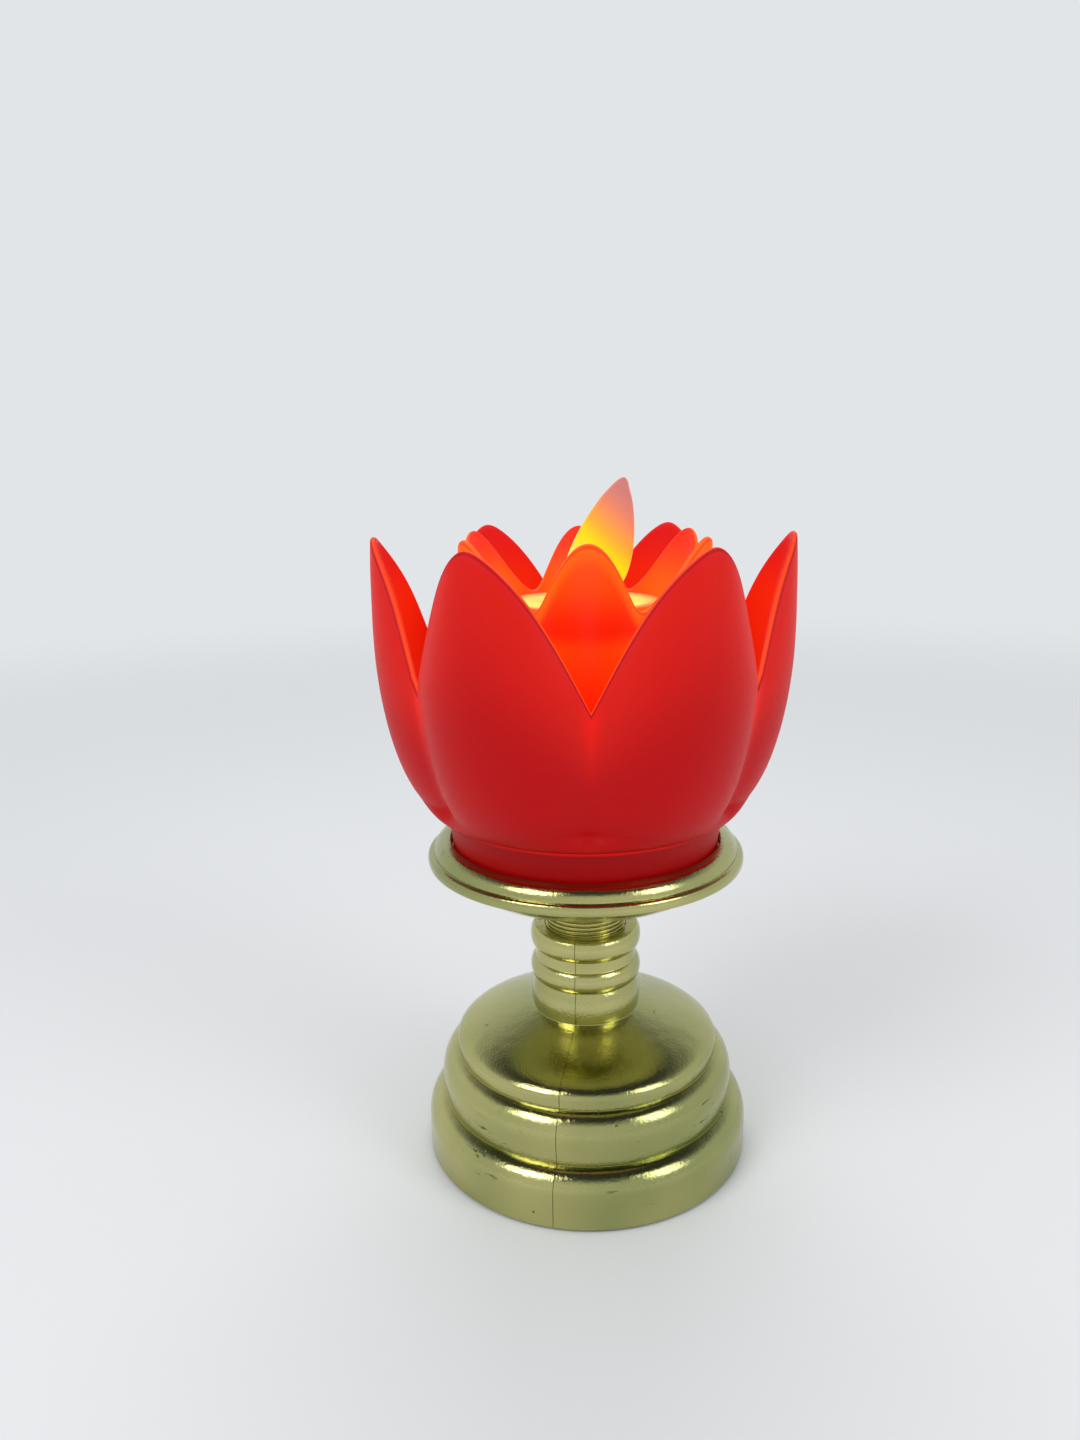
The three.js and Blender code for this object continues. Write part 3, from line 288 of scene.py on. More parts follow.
def paintLit(dark, light, scale, reach=None):
    def paint(tree):
        place = tree.place()
        share = tree.cloud(place, scale)
        if reach:  # brightest over the lamp, redder out at the edge
            patches = 1 - litFinish.patches + share * litFinish.patches
            share = (1 - tree.smooth(tree.fromAxis(place), *reach)) * patches
        glow = tree.mix(share, dark, light)
        return {"Base Color": glow, "Emission Color": glow, **tree.grained(*litFinish.grain)}
    return paint


# painted light on the plastic leaf, from the lamp below it: emission colours up the leaf, a lit spot, a lit
# edge, and a base colour tinted by the same light
flameFinish = Settings(
    foot=shade(255, 212, 0),
    climb=[
        ((0.46, 0.66), shade(242, 146, 22)), ((0.6, 0.82), shade(196, 104, 62)),
        ((0.78, 0.98), shade(158, 90, 86))],
    heart=shade(255, 232, 150), heartSide=(0.1, 0.9), heartTop=(0.34, 0.56), heartShare=0.8,
    rim=shade(255, 190, 130), rimReach=(0.2, 0.7), rimShare=0.75, slant=0.12,
    bodyFoot=shade(190, 132, 24), bodyTip=shade(150, 104, 100), bodyReach=(0.5, 0.9),
    grain=(600, 0.3, 0.1, 0.08),
)


def paintFlame(tree):
    look = flameFinish
    climb, across, rim = (tree.attribute(name) for name in ("flameClimb", "flameAcross", "flameRim"))
    height = climb + across * look.slant
    glow = look.foot
    for reach, colour in look.climb:
        glow = tree.mix(tree.smooth(height, *reach), glow, colour)
    # a painted bright spot low on the left, where the lamp below shines on the leaf
    heart = tree.smooth(0 - across, *look.heartSide) * (1 - tree.smooth(climb, *look.heartTop))
    glow = tree.mix(heart * look.heartShare, glow, look.heart)
    # a painted bright line round the leaf's edge
    glow = tree.mix(tree.smooth(rim, *look.rimReach) * look.rimShare, glow, look.rim)
    # painted light in the base colour too: yellow low down, pinkish towards the tip
    body = tree.mix(tree.smooth(height, *look.bodyReach), look.bodyFoot, look.bodyTip)
    return {"Base Color": body, "Emission Color": glow, **tree.grained(*look.grain)}


# the cap and the core body are no lamps: their glow is painted light from the lamps inside
litCap = surface("litCap", paintLit(shade(220, 80, 8), shade(244, 184, 62), 60, litFinish.capReach),
                 Emission_Strength=1.0, Specular_IOR_Level=0.3)
litCore = surface("litCore", paintLit(shade(250, 110, 20), shade(255, 170, 60), 40), Emission_Strength=0.6)
flameGlow = surface("flameGlow", paintFlame, Emission_Strength=0.9, Specular_IOR_Level=0.3)
ledLens = surface("ledLens", paintLit(shade(255, 214, 120), shade(255, 236, 170), 300),
                  Emission_Strength=0.9)


# Plain pieces

plainFinish = Settings(scale=800, clouds=60, detail=3, spread=0.2, bumpDepth=0.0003)


def plain(name, colour, second, rough, metal=0.0, grain=0.12):
    look = plainFinish

    def paint(tree):
        clouds = tree.cloud(tree.place(), look.clouds, look.detail)
        grained = tree.grained(look.scale, rough - look.spread / 2, look.spread, grain,
                               look.bumpDepth, look.detail)
        return {"Base Color": tree.mix(clouds, shade(*colour), shade(*second)), **grained}
    return surface(name, paint, Metallic=metal)


basePlastic = plain("basePlastic", (27, 27, 29), (36, 36, 38), 0.5, grain=0.3)
trayPlastic = plain("trayPlastic", (38, 38, 41), (46, 46, 49), 0.55, grain=0.3)
knobPlastic = plain("knobPlastic", (214, 214, 208), (200, 200, 195), 0.4)
rubber = plain("rubber", (30, 30, 32), (42, 42, 44), 0.85, grain=0.5)
brightSteel = plain("brightSteel", (178, 180, 184), (156, 158, 162), 0.3, metal=1.0)
switchSteel = plain("switchSteel", (150, 152, 156), (128, 130, 134), 0.38, metal=1.0)
contactBrass = plain("contactBrass", (196, 160, 76), (170, 136, 62), 0.3, metal=1.0)
copperWire = plain("copperWire", (184, 104, 52), (150, 80, 38), 0.35, metal=0.9)
chipBlack = plain("chipBlack", (20, 20, 22), (28, 28, 30), 0.5)
milkyWhite = plain("milkyWhite", (233, 226, 212), (222, 214, 198), 0.45)
redSleeve = plain("redSleeve", (176, 24, 24), (150, 18, 18), 0.45)
blackSleeve = plain("blackSleeve", (22, 22, 22), (32, 32, 32), 0.45)
print("materials: done")


# Mesh helpers: sizes are in millimetres, and a profile's points are (distance from the axis, height)

class Outline:
    def __init__(self, across, up):
        self.points = [(across, up)]

    def line(self, *points):
        self.points += points

    def cubic(self, first, second, end, steps=24):
        corners = (self.points[-1], first, second, end)
        for i in range(1, steps + 1):
            t = i / steps
            weights = ((1 - t) ** 3, 3 * t * (1 - t) ** 2, 3 * t * t * (1 - t), t ** 3)
            self.points.append(tuple(sum(w * c[k] for w, c in zip(weights, corners)) for k in (0, 1)))

    def quad(self, handle, end, steps=8):
        start = self.points[-1]
        first, second = (tuple(a + (h - a) * 2 / 3 for a, h in zip(point, handle)) for point in (start, end))
        self.cubic(first, second, end, steps)


# a smooth line through all points but the outer two, which only steer it
# a power of 0.5 keeps it calm where long and short runs meet
def throughPoints(points, steps, power=0.0):
    made = []
    for a, b, c, d in zip(points, points[1:], points[2:], points[3:]):
        first, span, last = ((q - p).length ** power for p, q in ((a, b), (b, c), (c, d)))
        leave = ((b - a) / first - (c - a) / (first + span) + (c - b) / span) * span
        reach = ((c - b) / span - (d - b) / (span + last) + (d - c) / last) * span
        for k in range(steps):
            t = k / steps
            made.append(b * (2 * t ** 3 - 3 * t * t + 1) + leave * (t ** 3 - 2 * t * t + t)
                        + c * (3 * t * t - 2 * t ** 3) + reach * (t ** 3 - t * t))
    return made + [points[-2]]


cornerShare = 0.45  # of a straight stretch, the most that one rounded corner takes


# rounds the corners that turn by at least so many degrees
def rounded(points, radius, least=30, closed=True):
    made = []
    count = len(points)
    for i, point in enumerate(points):
        if not closed and i in (0, count - 1):
            made.append(point)
            continue
        here = Vector(point)
        before = Vector(points[i - 1]) - here
        after = Vector(points[(i + 1) % count]) - here
        if before.length < 1e-6 or after.length < 1e-6:
            continue
        if 180 - math.degrees(before.angle(after)) < least:
            made.append(point)
            continue
        reach = min(radius, before.length * cornerShare, after.length * cornerShare)
        first = here + before.normalized() * reach
        last = here + after.normalized() * reach
        for t in (0, 0.25, 0.5, 0.75, 1):
            made.append(tuple(first * (1 - t) ** 2 + here * 2 * t * (1 - t) + last * t * t))
    return made


def linked(data, name="form"):
    piece = bpy.data.objects.new(name, data)
    bpy.context.scene.collection.objects.link(piece)
    return piece


def welded(piece, reach=1e-6, outward=False):
    form = bmesh.new()
    form.from_mesh(piece.data)
    bmesh.ops.remove_doubles(form, verts=form.verts, dist=reach)
    if outward:
        bmesh.ops.recalc_face_normals(form, faces=form.faces)
    else:
        bmesh.ops.dissolve_degenerate(form, edges=form.edges, dist=reach)
    form.to_mesh(piece.data)
    form.free()
    return piece


def meshed(spots, faces):
    mesh = bpy.data.meshes.new("form")
    mesh.from_pydata([spot / 1000 for spot in spots], [], faces)
    return welded(linked(mesh), 1e-7, True)


def lofted(rows, closed=False):  # a skin over rows of points, with a cap at each end unless it closes
    count, total = len(rows[0]), len(rows) * len(rows[0])
    faces = [] if closed else [tuple(range(count)), tuple(range(total - count, total))]
    for here in range(0, total if closed else total - count, count):
        ahead = (here + count) % total
        for k in range(count):
            up = (k + 1) % count
            faces.append((here + k, ahead + k, ahead + up, here + up))
    return meshed([spot for row in rows for spot in row], faces)


def around(azimuth, distance, height=0.0):  # azimuth in degrees from the front
    angle = math.radians(azimuth)
    return Vector((distance * math.sin(angle), -distance * math.cos(angle), height))


def circle(count, radius, first=0.0):
    return [around(first + 360 * i / count, radius) for i in range(count)]


def revolve(loop, segments=96, middle=(0, 0, 0)):
    rows = [[around(360 * j / segments, *spot) + Vector(middle) for spot in loop] for j in range(segments)]
    return lofted(rows, closed=True)


def rod(radius, low, high, bore=0.0):  # the profile of a rod, or of a ring with its bore
    return [(bore, low), (radius, low), (radius, high), (bore, high)]


def rods(spots, radius, low, high, segments=24):
    return [revolve(rod(radius, low, high), segments, spot) for spot in spots]


def block(width, depth, low, high, x=0, y=0):
    corners = [(x + i * width / 2, y + j * depth / 2) for i, j in ((-1, -1), (1, -1), (1, 1), (-1, 1))]
    return lofted([[Vector((*corner, z)) for corner in corners] for z in (low, high)])


def placed(piece, spot, *turns):  # each turn is (degrees, axis), and the last one is made first
    move = Matrix.Translation(Vector(spot) / 1000)
    for degrees, axis in turns:
        move = move @ Matrix.Rotation(math.radians(degrees), 4, axis)
    piece.data.transform(move)
    return piece


def bakeModifiers(piece):
    graph = bpy.context.evaluated_depsgraph_get()
    source = piece.evaluated_get(graph)
    mesh = bpy.data.meshes.new_from_object(source, preserve_all_data_layers=True, depsgraph=graph)
    piece.modifiers.clear()
    piece.data = mesh
    return piece


overrun = 1.0  # how far a cutting tool runs past the face it opens


def cutAway(piece, *tools, operation="DIFFERENCE"):
    for tool in tools:
        step = piece.modifiers.new("cut", "BOOLEAN")
        step.operation = operation
        step.solver = "EXACT"
        step.object = tool
        welded(bakeModifiers(piece), 1e-5)
        bpy.data.objects.remove(tool)
    return piece


def merged(piece, *tools):
    return cutAway(piece, *tools, operation="UNION")


def bevelled(piece, width, segments=3):
    step = piece.modifiers.new("bevel", "BEVEL")
    step.width = width / 1000
    step.segments = segments
    step.limit_method = "ANGLE"
    return bakeModifiers(piece)


def joined(*pieces):
    form = bmesh.new()
    for piece in pieces:
        form.from_mesh(piece.data)
        bpy.data.objects.remove(piece)
    mesh = bpy.data.meshes.new("form")
    form.to_mesh(mesh)
    form.free()
    return linked(mesh)


def marked(piece, **facts):  # stores a value at each point, worked out from its place
    spots = [vertex.co * 1000 for vertex in piece.data.vertices]
    for name, fact in facts.items():
        layer = piece.data.attributes.new(name, "FLOAT", "POINT")
        layer.data.foreach_set("value", [fact(spot) for spot in spots])
    return piece


def finished(piece, name, material, sharp=30):
    mesh = piece.data
    piece.name = mesh.name = name
    mesh.materials.clear()
    mesh.materials.append(material)
    mesh.polygons.foreach_set("material_index", [0] * len(mesh.polygons))
    mesh.shade_smooth()
    mesh.set_sharp_from_angle(angle=math.radians(sharp))
    return piece


def fitted(piece, name, material, slotName, *replaced, body="lamp", sharp=30):
    finished(piece, name, material, sharp)
    if replaced:
        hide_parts(*replaced)
    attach(piece, body)


def numbered(stem, count):
    return ["%s_%d" % (stem, i + 1) for i in range(count)]


class Recipe(Tree):  # a Geometry Nodes tree with named sizes
    kinds = {int: "NodeSocketInt", float: "NodeSocketFloat", str: "NodeSocketObject"}

    def __init__(self, name, sizes):
        super().__init__(bpy.data.node_groups.new(name, "GeometryNodeTree"))
        ports = self.data.interface
        ports.new_socket(name="Geometry", in_out="OUTPUT", socket_type="NodeSocketGeometry")
        self.ports = {}
        for label, value in sizes.items():
            port = ports.new_socket(name=label, in_out="INPUT", socket_type=self.kinds[type(value)])
            if type(value) is not str:
                port.default_value = value
            self.ports[label] = port.identifier
        port = ports.new_socket(name="Material", in_out="INPUT", socket_type="NodeSocketMaterial")
        self.ports["Material"] = port.identifier
        self.entry = self.data.nodes.new("NodeGroupInput")

    def size(self, label):
        return Value(self, self.entry.outputs[label])

    def grid(self):  # a square of points, and their places across it from -0.5 to 0.5
        counts = {"Vertices X": self.size("Columns"), "Vertices Y": self.size("Rows")}
        square = self.node("GeometryNodeMeshGrid", {"Size X": 1.0, "Size Y": 1.0, **counts})
        return square, *self.axes(self.node("GeometryNodeInputPosition"))[:2]

    def polar(self, radius, turn, height=0.0):
        return self.node("ShaderNodeCombineXYZ", {
            0: radius * turn.sine() * 0.001, 1: radius * turn.cosine() * -0.001, 2: height * 0.001})

    def moved(self, geometry, spot):
        return self.node("GeometryNodeSetPosition", {"Geometry": geometry, "Position": spot})

    def azimuth(self, count):  # the turn of each copy round the axis
        index = self.node("GeometryNodeInputIndex")
        return index, (self.size("First") + index * (360 / count)) * (math.pi / 180)

    def copies(self, form, count, turn, spot=(0, 0, 0)):
        points = self.node("GeometryNodeMeshLine", {"Count": count, "Offset": (0, 0, 0)})
        spin = self.node("ShaderNodeCombineXYZ", {2: turn})
        return self.node("GeometryNodeInstanceOnPoints", {
            "Points": self.moved(points, spot), "Instance": form, "Rotation": spin})

    def close(self, geometry):
        solid = self.node("GeometryNodeRealizeInstances", {0: geometry})
        painted = self.node("GeometryNodeSetMaterial", {
            "Geometry": solid, "Material": self.size("Material")})
        self.node("NodeGroupOutput", {0: painted})
        return self

    def make(self, material, **sizes):
        piece = linked(bpy.data.meshes.new("form"))
        step = piece.modifiers.new("recipe", "NODES")
        step.node_group = self.data
        for label, value in {**sizes, "Material": material}.items():
            step[self.ports[label]] = value
        return bakeModifiers(piece)


# Pedestal: two plated half shells

pedestal = Settings(
    shellLift=0.8, wall=2.0, seamAzimuth=-11.0, seamGap=0.14, segments=96,
    footRadius=44.0, footWall=8.2, footShoulder=6.1,
    lowerCrease=39.2, middleFlare=0.7, middleWall=6.2, middleShoulder=6.8,
    upperCrease=35.4, topFlare=0.2, topWall=2.9, topShoulder=3.2, shoulderPull=0.55,
    domeRise=8.9, domeMid=27.0, domeDrop=3.5, neckBase=14.4,
    barrelRise=8.5, barrelBulge=0.6, barrelEase=0.3, groove=13.6,
    beadRise=6.0, bead=14.9, beadPull=1.33, beadEase=0.15,
    waist=13.7, waistRise=3.0, neckLip=13.9, bore=11.1, creaseRound=0.7, insideStep=6,
    boss=(3.4, 4.0, 23.8), pilot=(1.3, 3.0, 12.6), bossAzimuths=(45.0, 135.0), bossCircle=35.2,
    screws=4,
)


def pedestalOutline(size):
    line = Outline(size.footRadius, size.shellLift)

    def tier(radius, wall, crease, shoulder):  # an upright wall, then a shoulder in to the crease
        pull = size.shoulderPull
        wallTop = line.points[-1][1] + wall
        end = wallTop + shoulder
        line.line((radius, wallTop))
        line.cubic((radius, wallTop + shoulder * pull), (crease + (radius - crease) * pull, end),
                   (crease, end))

    def bulge(radius, rise, reach, ease):  # out towards reach, and back in to the radius
        start = line.points[-1][1]
        line.cubic((reach, start + rise * ease), (reach, start + rise * (1 - ease)), (radius, start + rise))

    def bead(radius):
        start = line.points[-1][0]
        reach = start + (size.bead - start) * size.beadPull
        bulge(radius, size.beadRise, reach, size.beadEase)

    top = size.upperCrease + size.topFlare
    tier(size.footRadius, size.footWall, size.lowerCrease, size.footShoulder)
    tier(size.lowerCrease + size.middleFlare, size.middleWall, size.upperCrease, size.middleShoulder)
    topZ = line.points[-1][1] + size.topWall
    neckZ = topZ + size.domeRise
    line.line((top, topZ))
    line.cubic((top, topZ + size.topShoulder), (size.domeMid, neckZ - size.domeDrop),
               (size.neckBase, neckZ), 40)
    hollow = list(line.points)  # the shell is hollow up to here
    bulge(size.groove, size.barrelRise, size.neckBase + size.barrelBulge, size.barrelEase)
    bead(size.waist)
    line.line((size.waist, line.points[-1][1] + size.waistRise))
    bead(size.neckLip)
    return line.points, hollow


def insetPoints(points, wall):
    made = []
    for i, point in enumerate(points):
        here = Vector(point)
        before = (here - Vector(points[i - 1])).normalized() if i > 0 else None
        after = (Vector(points[i + 1]) - here).normalized() if i < len(points) - 1 else None
        along = ((before or after) + (after or before)).normalized()
        mitre = along.dot(before or after)
        made.append((here.x - along.y * wall / mitre, here.y + along.x * wall / mitre))
    return made


def pedestalShell(side, size):
    outside, hollow = pedestalOutline(size)
    inside = insetPoints(hollow[::size.insideStep] + hollow[-1:], size.wall)[::-1]
    inside = [point for i, point in enumerate(inside) if i == 0 or point[1] < inside[i - 1][1] - 0.01]
    bore = [(size.bore, outside[-1][1]), (size.bore, inside[0][1])]
    loop = rounded(outside, size.creaseRound, 20, False) + bore + inside
    edges = [math.degrees(math.asin(size.seamGap / 2 / across)) for across, up in loop]
    rows = [[around(size.seamAzimuth + side * (edge + (180 - 2 * edge) * j / size.segments), *spot)
             for edge, spot in zip(edges, loop)] for j in range(size.segments + 1)]
    spots = [around(side * azimuth, size.bossCircle) for azimuth in size.bossAzimuths]
    shell = merged(lofted(rows), *rods(spots, *size.boss, 32))
    return cutAway(shell, *rods(spots, *size.pilot))


for name, side in (("Right", 1), ("Left", -1)):
    fitted(pedestalShell(side, pedestal), "platedShell" + name, goldPlating,
           "gold_plating", "pedestal_shell_" + name.lower())
print("pedestal: done")


# Saucer: rolled rim, bowl, hub and spigot

saucer = Settings(
    spigotRoot=10.2, spigotBore=8.0, spigotBottom=50.4,
    hubBottom=71.5, hubTop=73.5, hub=11.6, wall=2.0,
    radius=41.8, lip=40.9, rimBottom=82.5, lipZ=85.4, rimTop=89.0, bandPull=0.55,
    bandFoot=40.2, bandTop=36.6, footWell=35.6, ledgeZ=86.2, draft=0.1, round=0.35,
    bowlEdge=33.0, bowlCurve=7.0, headSeat=85.0,
    bossRadius=4.2, bossTop=89.6, screws=3, screwCircle=14.5, recess=2.8, hole=1.5,
)


def saucerPiece(size):
    lip, lipZ, rimBottom, rimTop = (size[key] for key in ("lip", "lipZ", "rimBottom", "rimTop"))
    hub, hubTop, wall, edge = (size[key] for key in ("hub", "hubTop", "wall", "bowlEdge"))
    middle, curve, pull = (rimBottom + lipZ) / 2, size.bowlCurve, size.bandPull
    bandFoot, bandTop = size.bandFoot, size.bandTop
    line = Outline(size.spigotBore, size.spigotBottom)
    line.line((size.spigotRoot, size.spigotBottom), (size.spigotRoot, size.hubBottom),
              (hub, size.hubBottom), (hub, hubTop))
    line.cubic((edge, hubTop), (edge + wall, rimBottom - wall), (lip - wall, rimBottom), 40)
    line.line((lip, rimBottom))
    line.quad((size.radius, rimBottom), (size.radius, middle))
    line.quad((size.radius, lipZ), (lip, lipZ))
    line.line((bandFoot, lipZ + size.draft))
    line.cubic((bandFoot, lipZ + (rimTop - lipZ) * pull), (bandTop + (bandFoot - bandTop) * pull, rimTop),
               (bandTop, rimTop))
    line.line((size.footWell, rimTop - size.draft), (size.footWell, size.ledgeZ), (edge, size.ledgeZ))
    line.cubic((edge, size.ledgeZ - curve), (edge - curve, hubTop + 2 * wall), (hub, hubTop + wall))
    line.line((size.spigotBore, hubTop + wall))
    spots = circle(size.screws, size.screwCircle)
    dish = merged(revolve(rounded(line.points, size.round), 160),
                  *rods(spots, size.bossRadius, hubTop + overrun, size.bossTop, 40))
    return cutAway(dish, *rods(spots, size.recess, size.hubBottom - overrun, size.headSeat, 40),
                   *rods(spots, size.hole, size.headSeat - overrun, size.bossTop + overrun))


fitted(saucerPiece(saucer), "platedSaucer", goldPlating, "gold_plating", "saucer")
print("saucer: done")


# Thread between hub and neck

threadSizes = Settings(
    Crest=10.9, Root=10.2, Pitch=1.15, Low=60.0, High=71.4, Core=9.6, Columns=97, Rows=200)


threadShares = Settings(overlap=0.02, closing=0.4995, flank=(0.2, 0.75), turnIn=0.004)


def threadRecipe(share):
    recipe = Recipe("spigotThread", threadSizes)
    size = recipe.size
    grid, x, y = recipe.grid()
    turn = (x + 0.5) * (2 * math.pi)
    # past both ends the surface turns in to the core
    loop = (y + 0.5) * (1 + 2 * share.overlap) - share.overlap
    # the last row comes back to the first, which closes the sleeve
    run = loop.clamped() * (1 - recipe.smooth(y, share.closing, 0.5))
    height = size("Low") + (size("High") - size("Low")) * run
    phase = height / size("Pitch") - (x + 0.5)
    ridge = 1 - (phase.sum("FRACT", phase) - 0.5).size() * 2
    outside = size("Root") + (size("Crest") - size("Root")) * recipe.smooth(ridge, *share.flank)
    within = 1 - recipe.smooth((loop - 0.5).size() - 0.5, 0.0, share.turnIn)
    radius = size("Core") + (outside - size("Core")) * within
    bent = recipe.moved(grid, recipe.polar(radius, turn + math.pi / 2, height))
    return recipe.close(recipe.node("GeometryNodeMergeByDistance", {"Geometry": bent, "Distance": 1e-6}))


fitted(threadRecipe(threadShares).make(goldPlating), "spigotThread", goldPlating, "gold_plating", sharp=60)
print("thread: done")


# Petal cups: one rule for both

cupSizes = {
    "Petals": 6, "Columns": 49, "Rows": 150, "First": 31.9, "Wall": 1.6,
    "Foot": 36.4, "Foot Height": 10.3, "Foot Draw": 1.3, "Ring Top": 96.7,
    "Belly": 53.6, "Belly Rise": 52.0, "Bowl Power": 2.1, "Tip Rise": 70.9, "Valley Rise": 35.3,
    "Rim Power": 1.0, "Rim Point": 0.42, "Point Round": 0.1, "Valley Round": 0.12,
    "Bend": -0.4, "Bend Rise": 14.8, "Bend Power": 3.0,
    "Lobe": 0.494, "Lobe Rise": 5.2, "Fold": 0.34, "Fold Rise": 32.6,
}
innerSizes = {
    **cupSizes, "First": 1.9, "Wall": 1.5,
    "Foot": 23.6, "Foot Height": 2.0, "Foot Draw": 0.0, "Ring Top": 93.6,
    "Belly": 31.4, "Belly Rise": 54.0, "Bowl Power": 2.2, "Tip Rise": 73.9, "Valley Rise": 57.4,
    "Rim Power": 2.0, "Rim Point": 0.0, "Valley Round": 0.3,
    "Bend": 2.6, "Bend Rise": 26.0, "Bend Power": 2.0,
    "Lobe": 0.6, "Lobe Rise": 30.0, "Fold": 0.0, "Fold Rise": 16.5,
}
# shares of a wall's rows that reach the rim, and of those that are the foot, then the spacing of the rest
cupRows = Settings(
    rimStart=0.44, foot=0.06, spacing=1.8, slopeStep=0.05, steepest=6, closing=0.9995,
    wallStart=0.001, footEnd=0.0001, drawStart=0.25)


def cupRecipe(rows):
    recipe = Recipe("petalCup", cupSizes)
    size = recipe.size
    rimStart, footShare, step = rows.rimStart, rows.foot, rows.slopeStep

    def centreLine(rise):
        climb = 1 - (rise / size("Belly Rise")).clamped()
        bowl = (1 - climb ** size("Bowl Power")) ** 0.5
        bend = (rise - size("Tip Rise") + size("Bend Rise")).most(0) / size("Bend Rise")
        upright = size("Foot") + (size("Belly") - size("Foot")) * bowl
        return upright + size("Bend") * bend ** size("Bend Power")

    grid, x, y = recipe.grid()
    loop = y + 0.5
    width = (x * 2).size()
    near = loop.least(1 - loop)  # how far this row is from the foot, on either side
    climb = (near / rimStart).least(1)
    low = (climb / footShare).least(1)
    above = ((climb - footShare) / (1 - footShare)).most(0)
    swell = (width * (math.pi / 2)).cosine().most(0) ** size("Rim Power")
    # pointed share of the rim: straight flanks that meet in a small round
    blunt = size("Point Round")
    flank = ((width * width + blunt * blunt) ** 0.5 - blunt) / ((1 + blunt * blunt) ** 0.5 - blunt)
    swell = swell * (1 - size("Rim Point")) + (1 - flank) * size("Rim Point")
    top = size("Valley Rise") + (size("Tip Rise") - size("Valley Rise")) * swell
    half = size("Wall") / 2
    rimTurn = ((loop - rimStart) / (1 - 2 * rimStart)).clamped() * math.pi
    inward = (1 - rimTurn.cosine()) / 2
    rise = (top - half) * above ** rows.spacing
    radius = centreLine(rise)
    slope = (centreLine(rise + step) - centreLine((rise - step).most(0))) / (2 * step)
    slope = slope.most(-rows.steepest).least(rows.steepest)
    length = (1 + slope * slope) ** 0.5
    # each petal is a lobe of a smaller circle, folded more towards its tip
    fold = (1 - (size("Tip Rise") - rise) / size("Fold Rise")).clamped()
    lobe = size("Lobe") * recipe.smooth(rise, 0.0, size("Lobe Rise")) + size("Fold") * fold
    middle = lobe * radius
    # the last row comes back to the first, which closes the foot
    closing = 1 - recipe.smooth(loop, rows.closing, 1.0)
    depth = inward * size("Wall") * recipe.smooth(inward, 0, rows.wallStart) * closing
    arc = radius - middle - depth / length
    past = (width - (1 - size("Valley Round"))).most(0)
    eased = (width - past * past / (2 * size("Valley Round"))) * math.pi / size("Petals")
    side = middle * eased.sine()
    wallRadius = middle * eased.cosine() + (arc * arc - side * side) ** 0.5
    height = size("Ring Top") + rise + depth * slope / length + half * rimTurn.sine()
    # the foot stands straight below the ring's top
    footRadius = size("Foot") - depth - size("Foot Draw") * (1 - recipe.smooth(low, rows.drawStart, 1.0))
    footHeight = size("Ring Top") - size("Foot Height") * (1 - low) + depth * low
    isFoot = 1 - recipe.smooth(above, 0.0, rows.footEnd)
    spot = recipe.polar(footRadius * isFoot + wallRadius * (1 - isFoot), x * 2 * math.pi / size("Petals"),
                        footHeight * isFoot + height * (1 - isFoot))
    facts = {
        "petalClimb": above, "petalShare": width, "rimDrop": (top - rise).most(0), "petalInside": inward,
        "ringClimb": low,
    }
    for label, value in facts.items():
        fact = {"Geometry": grid, "Name": label, "Value": value}
        grid = recipe.node("GeometryNodeStoreNamedAttribute", fact, data_type="FLOAT", domain="POINT")
    turn = recipe.azimuth(size("Petals"))[1]
    petals = recipe.copies(recipe.moved(grid, spot), size("Petals"), turn)
    real = recipe.node("GeometryNodeRealizeInstances", {0: petals})
    return recipe.close(recipe.node("GeometryNodeMergeByDistance", {"Geometry": real, "Distance": 2e-6}))


cups = cupRecipe(cupRows)
cupFloor = Settings(outerZ=89.8, innerZ=91.6, thickness=1.6, bore=4.5, hole=1.5)


def cupPiece(material, low, sizes):
    edge = sizes["Foot"] - sizes["Wall"] / 2 - sizes["Foot Draw"]
    high = low + cupFloor.thickness
    floor = revolve(rod(edge, low, high, cupFloor.bore))
    spots = circle(saucer.screws, saucer.screwCircle)
    cutAway(floor, *rods(spots, cupFloor.hole, low - overrun, high + overrun))
    return joined(cups.make(material, **sizes), floor)


fitted(cupPiece(outerPetalPlastic, cupFloor.outerZ, cupSizes), "outerPetals", outerPetalPlastic,
       "outer_petal", "outer_petal_cup", sharp=40)
fitted(cupPiece(innerPetalPlastic, cupFloor.innerZ, innerSizes), "innerPetals", innerPetalPlastic,
       "inner_petal", "inner_petal_cup", sharp=40)
print("petal cups: done")


# Core: cap with its slot, body below

core = Settings(
    radius=18.8, wall=1.3, bodyBottom=95.0, bodyTop=148.0, shelfZ=115.6, shelf=1.3,
    shelfWidth=2.0, capSeat=148.2, capTop=151.0, skirt=8.0, capWall=1.0,
    capInside=19.1, rim=1.2, edge=0.6, dish=1.4, dishShare=0.55, slot=(11.2, 4.4), slotRound=0.6,
    ledHole=1.8, ledSpot=(-6.4, -4.8), capRound=0.25, bodyRound=0.3,
)


def capPiece(size):
    inside, edge, top, seat = (size[key] for key in ("capInside", "edge", "capTop", "capSeat"))
    outside = inside + size.capWall
    dishRadius = outside - edge - size.rim
    line = Outline(0, seat)
    line.line((inside, seat), (inside, top - size.skirt), (outside, top - size.skirt), (outside, top - edge))
    line.quad((outside, top), (outside - edge, top))
    line.line((dishRadius, top))
    line.quad((dishRadius * size.dishShare, top - size.dish), (0, top - size.dish), 20)
    low, high = seat - overrun, top + overrun
    slot = bevelled(block(*size.slot, low, high), size.slotRound)
    hole = rods([(*size.ledSpot, 0)], size.ledHole, low, high, 32)
    return cutAway(revolve(rounded(line.points, size.capRound), 128), slot, *hole)


